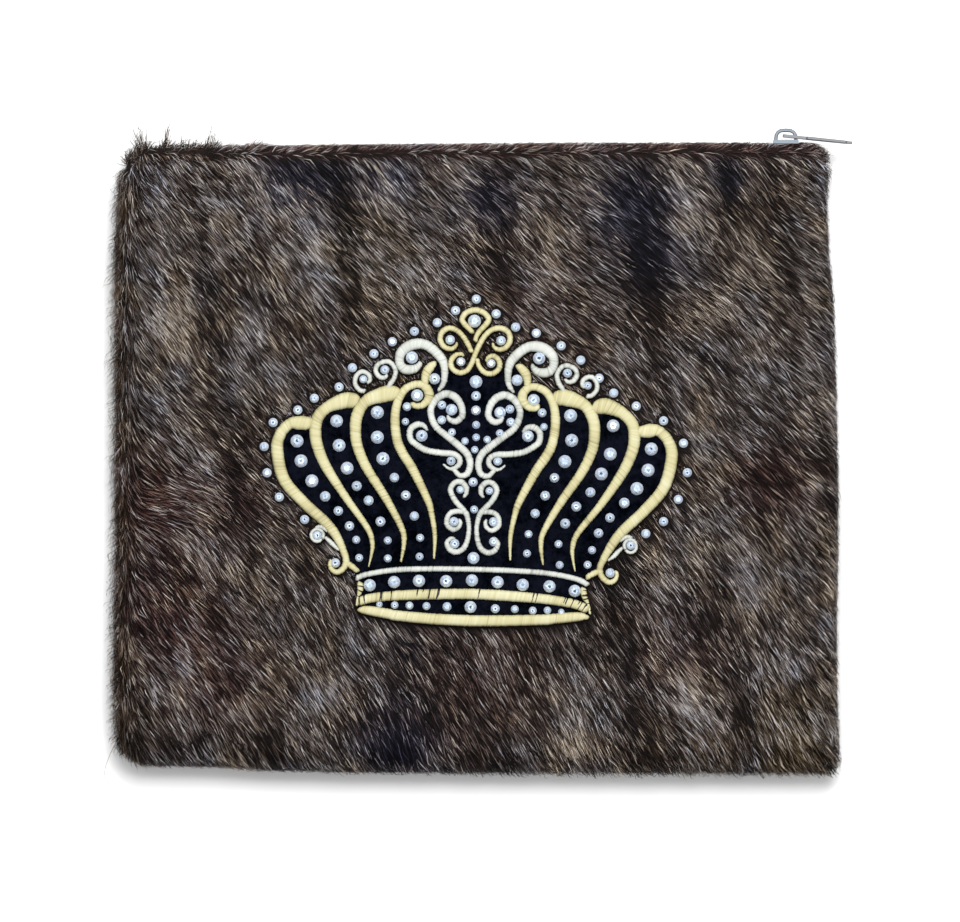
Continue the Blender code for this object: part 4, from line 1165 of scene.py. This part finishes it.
def thread(name, dark, mid, light):
    """A twisted shiny thread whose strands differ a little, nearly black in the nicks."""
    material = surface(name, mid, 0.62, Specular_IOR_Level=0.5)
    # The tone holds each thread's own random shade, plus painted shade at the strokes' edges and
    # between rows.
    tone = node(material, "ShaderNodeAttribute", attribute_name="thread_tone_and_shade").outputs["Fac"]
    spread = node(material, "ShaderNodeMapRange", {"Value": tone}, From_Min=-1.6, From_Max=1.4)
    stops = (0, "14120c"), (0.18, dark), (0.5, mid), (1, light)
    tint_by(material, spread.outputs["Result"], *stops)
    emboss(material, noise(material, 0.33333, 2), 0.3, 0.1)
    return material


# Rayon worn to a pale brassy gold, and a white rayon with a grey-silver sheen.
gold_thread = thread("gold rayon thread", "7a7350", "afa87c", "c6c4a6")
silver_thread = thread("silver white rayon thread", "72766f", "acafa8", "cacdc6")
for number, (name, strokes) in enumerate(GOLD_STROKES.items()):
    satin(name, strokes, gold_thread, 100 + number)
for number, (name, strokes) in enumerate(SILVER_STROKES.items()):
    satin(name, strokes, silver_thread, 200 + number)


# The stones. They are round glass stones, faceted on top and backed with mirror foil, 3 to 6 mm
# across. Those on the crown are set in the velvet, and 29 more on the hide round it.
# Rings of corners from the foot to the middle of the table: how many, how far out, how high.
STONE_RINGS = ((16, 1, -0.6), (16, 1, 0.22), (8, 0.78, 0.68), (8, 0.48, 1), (8, 0.27, 1))
STONE_LEAN = 0.033
HIDE_STONE_LOW = 0.9
HIDE_STONE_RISE = 1.8


def round_stones(name, rows, low, rise):
    """Model a table, eight star facets and sixteen girdle facets for each stone."""
    rng = np.random.default_rng(7)
    bm = bmesh.new()
    shine = bm.faces.layers.float.new("facet")

    def facet(*corners, tone):
        bm.faces.new(corners)[shine] = tone

    for out, up, diameter in rows:
        x, y = chart(out, up)
        radius = diameter * SQUARE / 2
        height = rise(2 * radius)
        surface_z = front_z(x, y) + low
        turn = rng.uniform(0, math.tau)
        lean = rng.normal(0, STONE_LEAN, 2)
        rings = []
        for sides, share, level in STONE_RINGS:
            ring = []
            for step in range(sides):
                angle = turn + math.tau * (step + (0.5 if share < 0.5 else 0)) / sides
                far = radius * share * (rng.uniform(0.45, 1.35) if share < 0.4 else 1)
                dx, dy = far * math.cos(angle), far * math.sin(angle)
                z = surface_z + height * level + (dx * lean[0] + dy * lean[1]) * (level > 0)
                ring.append(bm.verts.new(to_frame((x + dx, y + dy, z)).tolist()))
            rings.append(ring)
        low_ring, girdle, crown_ring, table_ring, core = rings
        # Painted reflections: the table is painted a pale blue, and its middle is often dark.
        table_reflection = rng.uniform(0.3, 0.6)
        core_reflection = rng.choice((0.0, 0.15, 0.35), p=(0.4, 0.3, 0.3))
        # Painted light: the girdle and the sloping star facets are painted bright, so that the sides
        # don't go grey in shade.
        for i in range(16):
            j = (i + 1) % 16
            facet(low_ring[i], low_ring[j], girdle[j], girdle[i], tone=0.8)
        for i in range(8):
            a, b, c = girdle[2 * i], girdle[2 * i + 1], girdle[(2 * i + 2) % 16]
            p, q = crown_ring[i], crown_ring[(i + 1) % 8]
            r, s = table_ring[i], table_ring[(i + 1) % 8]
            facet(a, b, p, tone=rng.uniform(0.75, 1))
            facet(b, q, p, tone=rng.uniform(0.7, 1))
            facet(b, c, q, tone=rng.uniform(0.75, 1))
            facet(p, q, r, tone=rng.uniform(0.4, 0.9))
            facet(q, s, r, tone=rng.uniform(0.3, 0.9))
        for i in range(8):
            j = (i + 1) % 8
            ring = (table_ring[i], table_ring[j], core[j], core[i])
            facet(*ring, tone=table_reflection + rng.uniform(-0.12, 0.12))
        facet(*core, tone=core_reflection)
        facet(*reversed(low_ring), tone=0.5)
    bm.normal_update()
    mesh = bpy.data.meshes.new(name)
    bm.to_mesh(mesh)
    bm.free()
    obj = add_object(name, mesh)
    mesh.materials.append(glass)
    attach(obj, "bag")
    return obj


# Each facet is painted its own shade, from near black to bright, as a painted reflection of the mirror
# foil behind the glass.
glass = surface(
    "foil backed glass", "dfe9f7", 0.12, Metallic=0.25, Coat_Weight=0.4, Coat_Roughness=0.05
)
foil = node(glass, "ShaderNodeAttribute", attribute_name="facet").outputs["Fac"]
tint_by(glass, foil, (0, "22262f"), (0.5, "b0c3dc"), (1, "e0e8f4"))

set_stones = round_stones(
    "set_stones", crown_stones, GROUND_TOP, lambda d: min(3.0, 0.8 + 0.38 * d)
)
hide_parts("crown_patch")
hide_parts("crown_patch")
hide_stones = round_stones(
    "hide_stones", [(*row, OUTER_DIAMETER) for row in OUTER_STONES],
    HIDE_STONE_LOW, lambda d: HIDE_STONE_RISE,
)
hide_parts(*[f"outer_stone_{number:02d}" for number in range(1, 30)])


# The zip. A brass-toothed zip on dark woven tape closes the top; its nickel-plated slider stops
# at the right-hand end, with a flat pull tab hung on the slider's loop.
TOOTH_PITCH = 2.6
TOOTH_SIZE = (1.5, 3.4, 2.5)
ZIP_HALF = 145.3
FIRST_TOOTH = (1.4 - ZIP_HALF, HEIGHT - 3.2, MID - 0.6)
WEAVE = 3.0303
# Worn brass, nickel plate that has gone dull, and a tape woven in a slanting twill.
brass = surface("brass teeth", "8f7b52", 0.35, Metallic=1)
nickel = surface("nickel plated slider", "545a60", 0.45, Metallic=1)
dull_nickel = surface("dull nickel tab", "535456", 0.45, Metallic=1)
webbing = surface("woven zip tape", "1f1a17", 0.85)
weave_place = node(webbing, "ShaderNodeTexCoord").outputs["Object"]
weave = node(webbing, "ShaderNodeTexWave", {"Vector": weave_place},
             wave_type="BANDS", bands_direction="DIAGONAL", Scale=1 / (WEAVE * MM))
emboss(webbing, weave.outputs["Fac"], 0.5, 0.2)

deselect()
bpy.ops.mesh.primitive_cube_add(size=1)
tooth = bpy.context.object
tooth.name = tooth.data.name = "zip_teeth_row"
write_points(tooth.data, to_frame(read_points(tooth.data) * TOOTH_SIZE + FIRST_TOOTH))
rounding = tooth.modifiers.new("rounding", "BEVEL")
rounding.width = 0.35 * MM
rounding.segments = 2
bpy.ops.object.modifier_apply(modifier=rounding.name)
# The teeth of the other side stand between these, and the pair repeats along the tape.
pairs = int((2 * ZIP_HALF - TOOTH_PITCH) / TOOTH_PITCH)
for count, step, rise in ((2, TOOTH_PITCH / 2, 1.2), (pairs, TOOTH_PITCH, 0)):
    row = tooth.modifiers.new("row", "ARRAY")
    row.count = count
    row.use_relative_offset = False
    row.use_constant_offset = True
    row.constant_offset_displace = (step * MM, 0, rise * MM)
    bpy.ops.object.modifier_apply(modifier=row.name)
finish_mesh(tooth)
tooth.data.materials.append(brass)
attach(tooth, "bag")
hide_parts("zip_teeth")

for name, metal in (("zip_tape", webbing), ("slider", nickel), ("pull_tab", dull_nickel)):
    part = bpy.data.objects[name]
    part.data.materials.clear()
    part.data.materials.append(metal)
    if metal is not webbing:
        weld = part.modifiers.new("weld", "WELD")
        weld.merge_threshold = 0.01 * MM
        soft = part.modifiers.new("soft edges", "BEVEL")
        soft.width = 0.25 * MM
        soft.segments = 3
        soft.limit_method = "ANGLE"
        soft.angle_limit = math.radians(50)
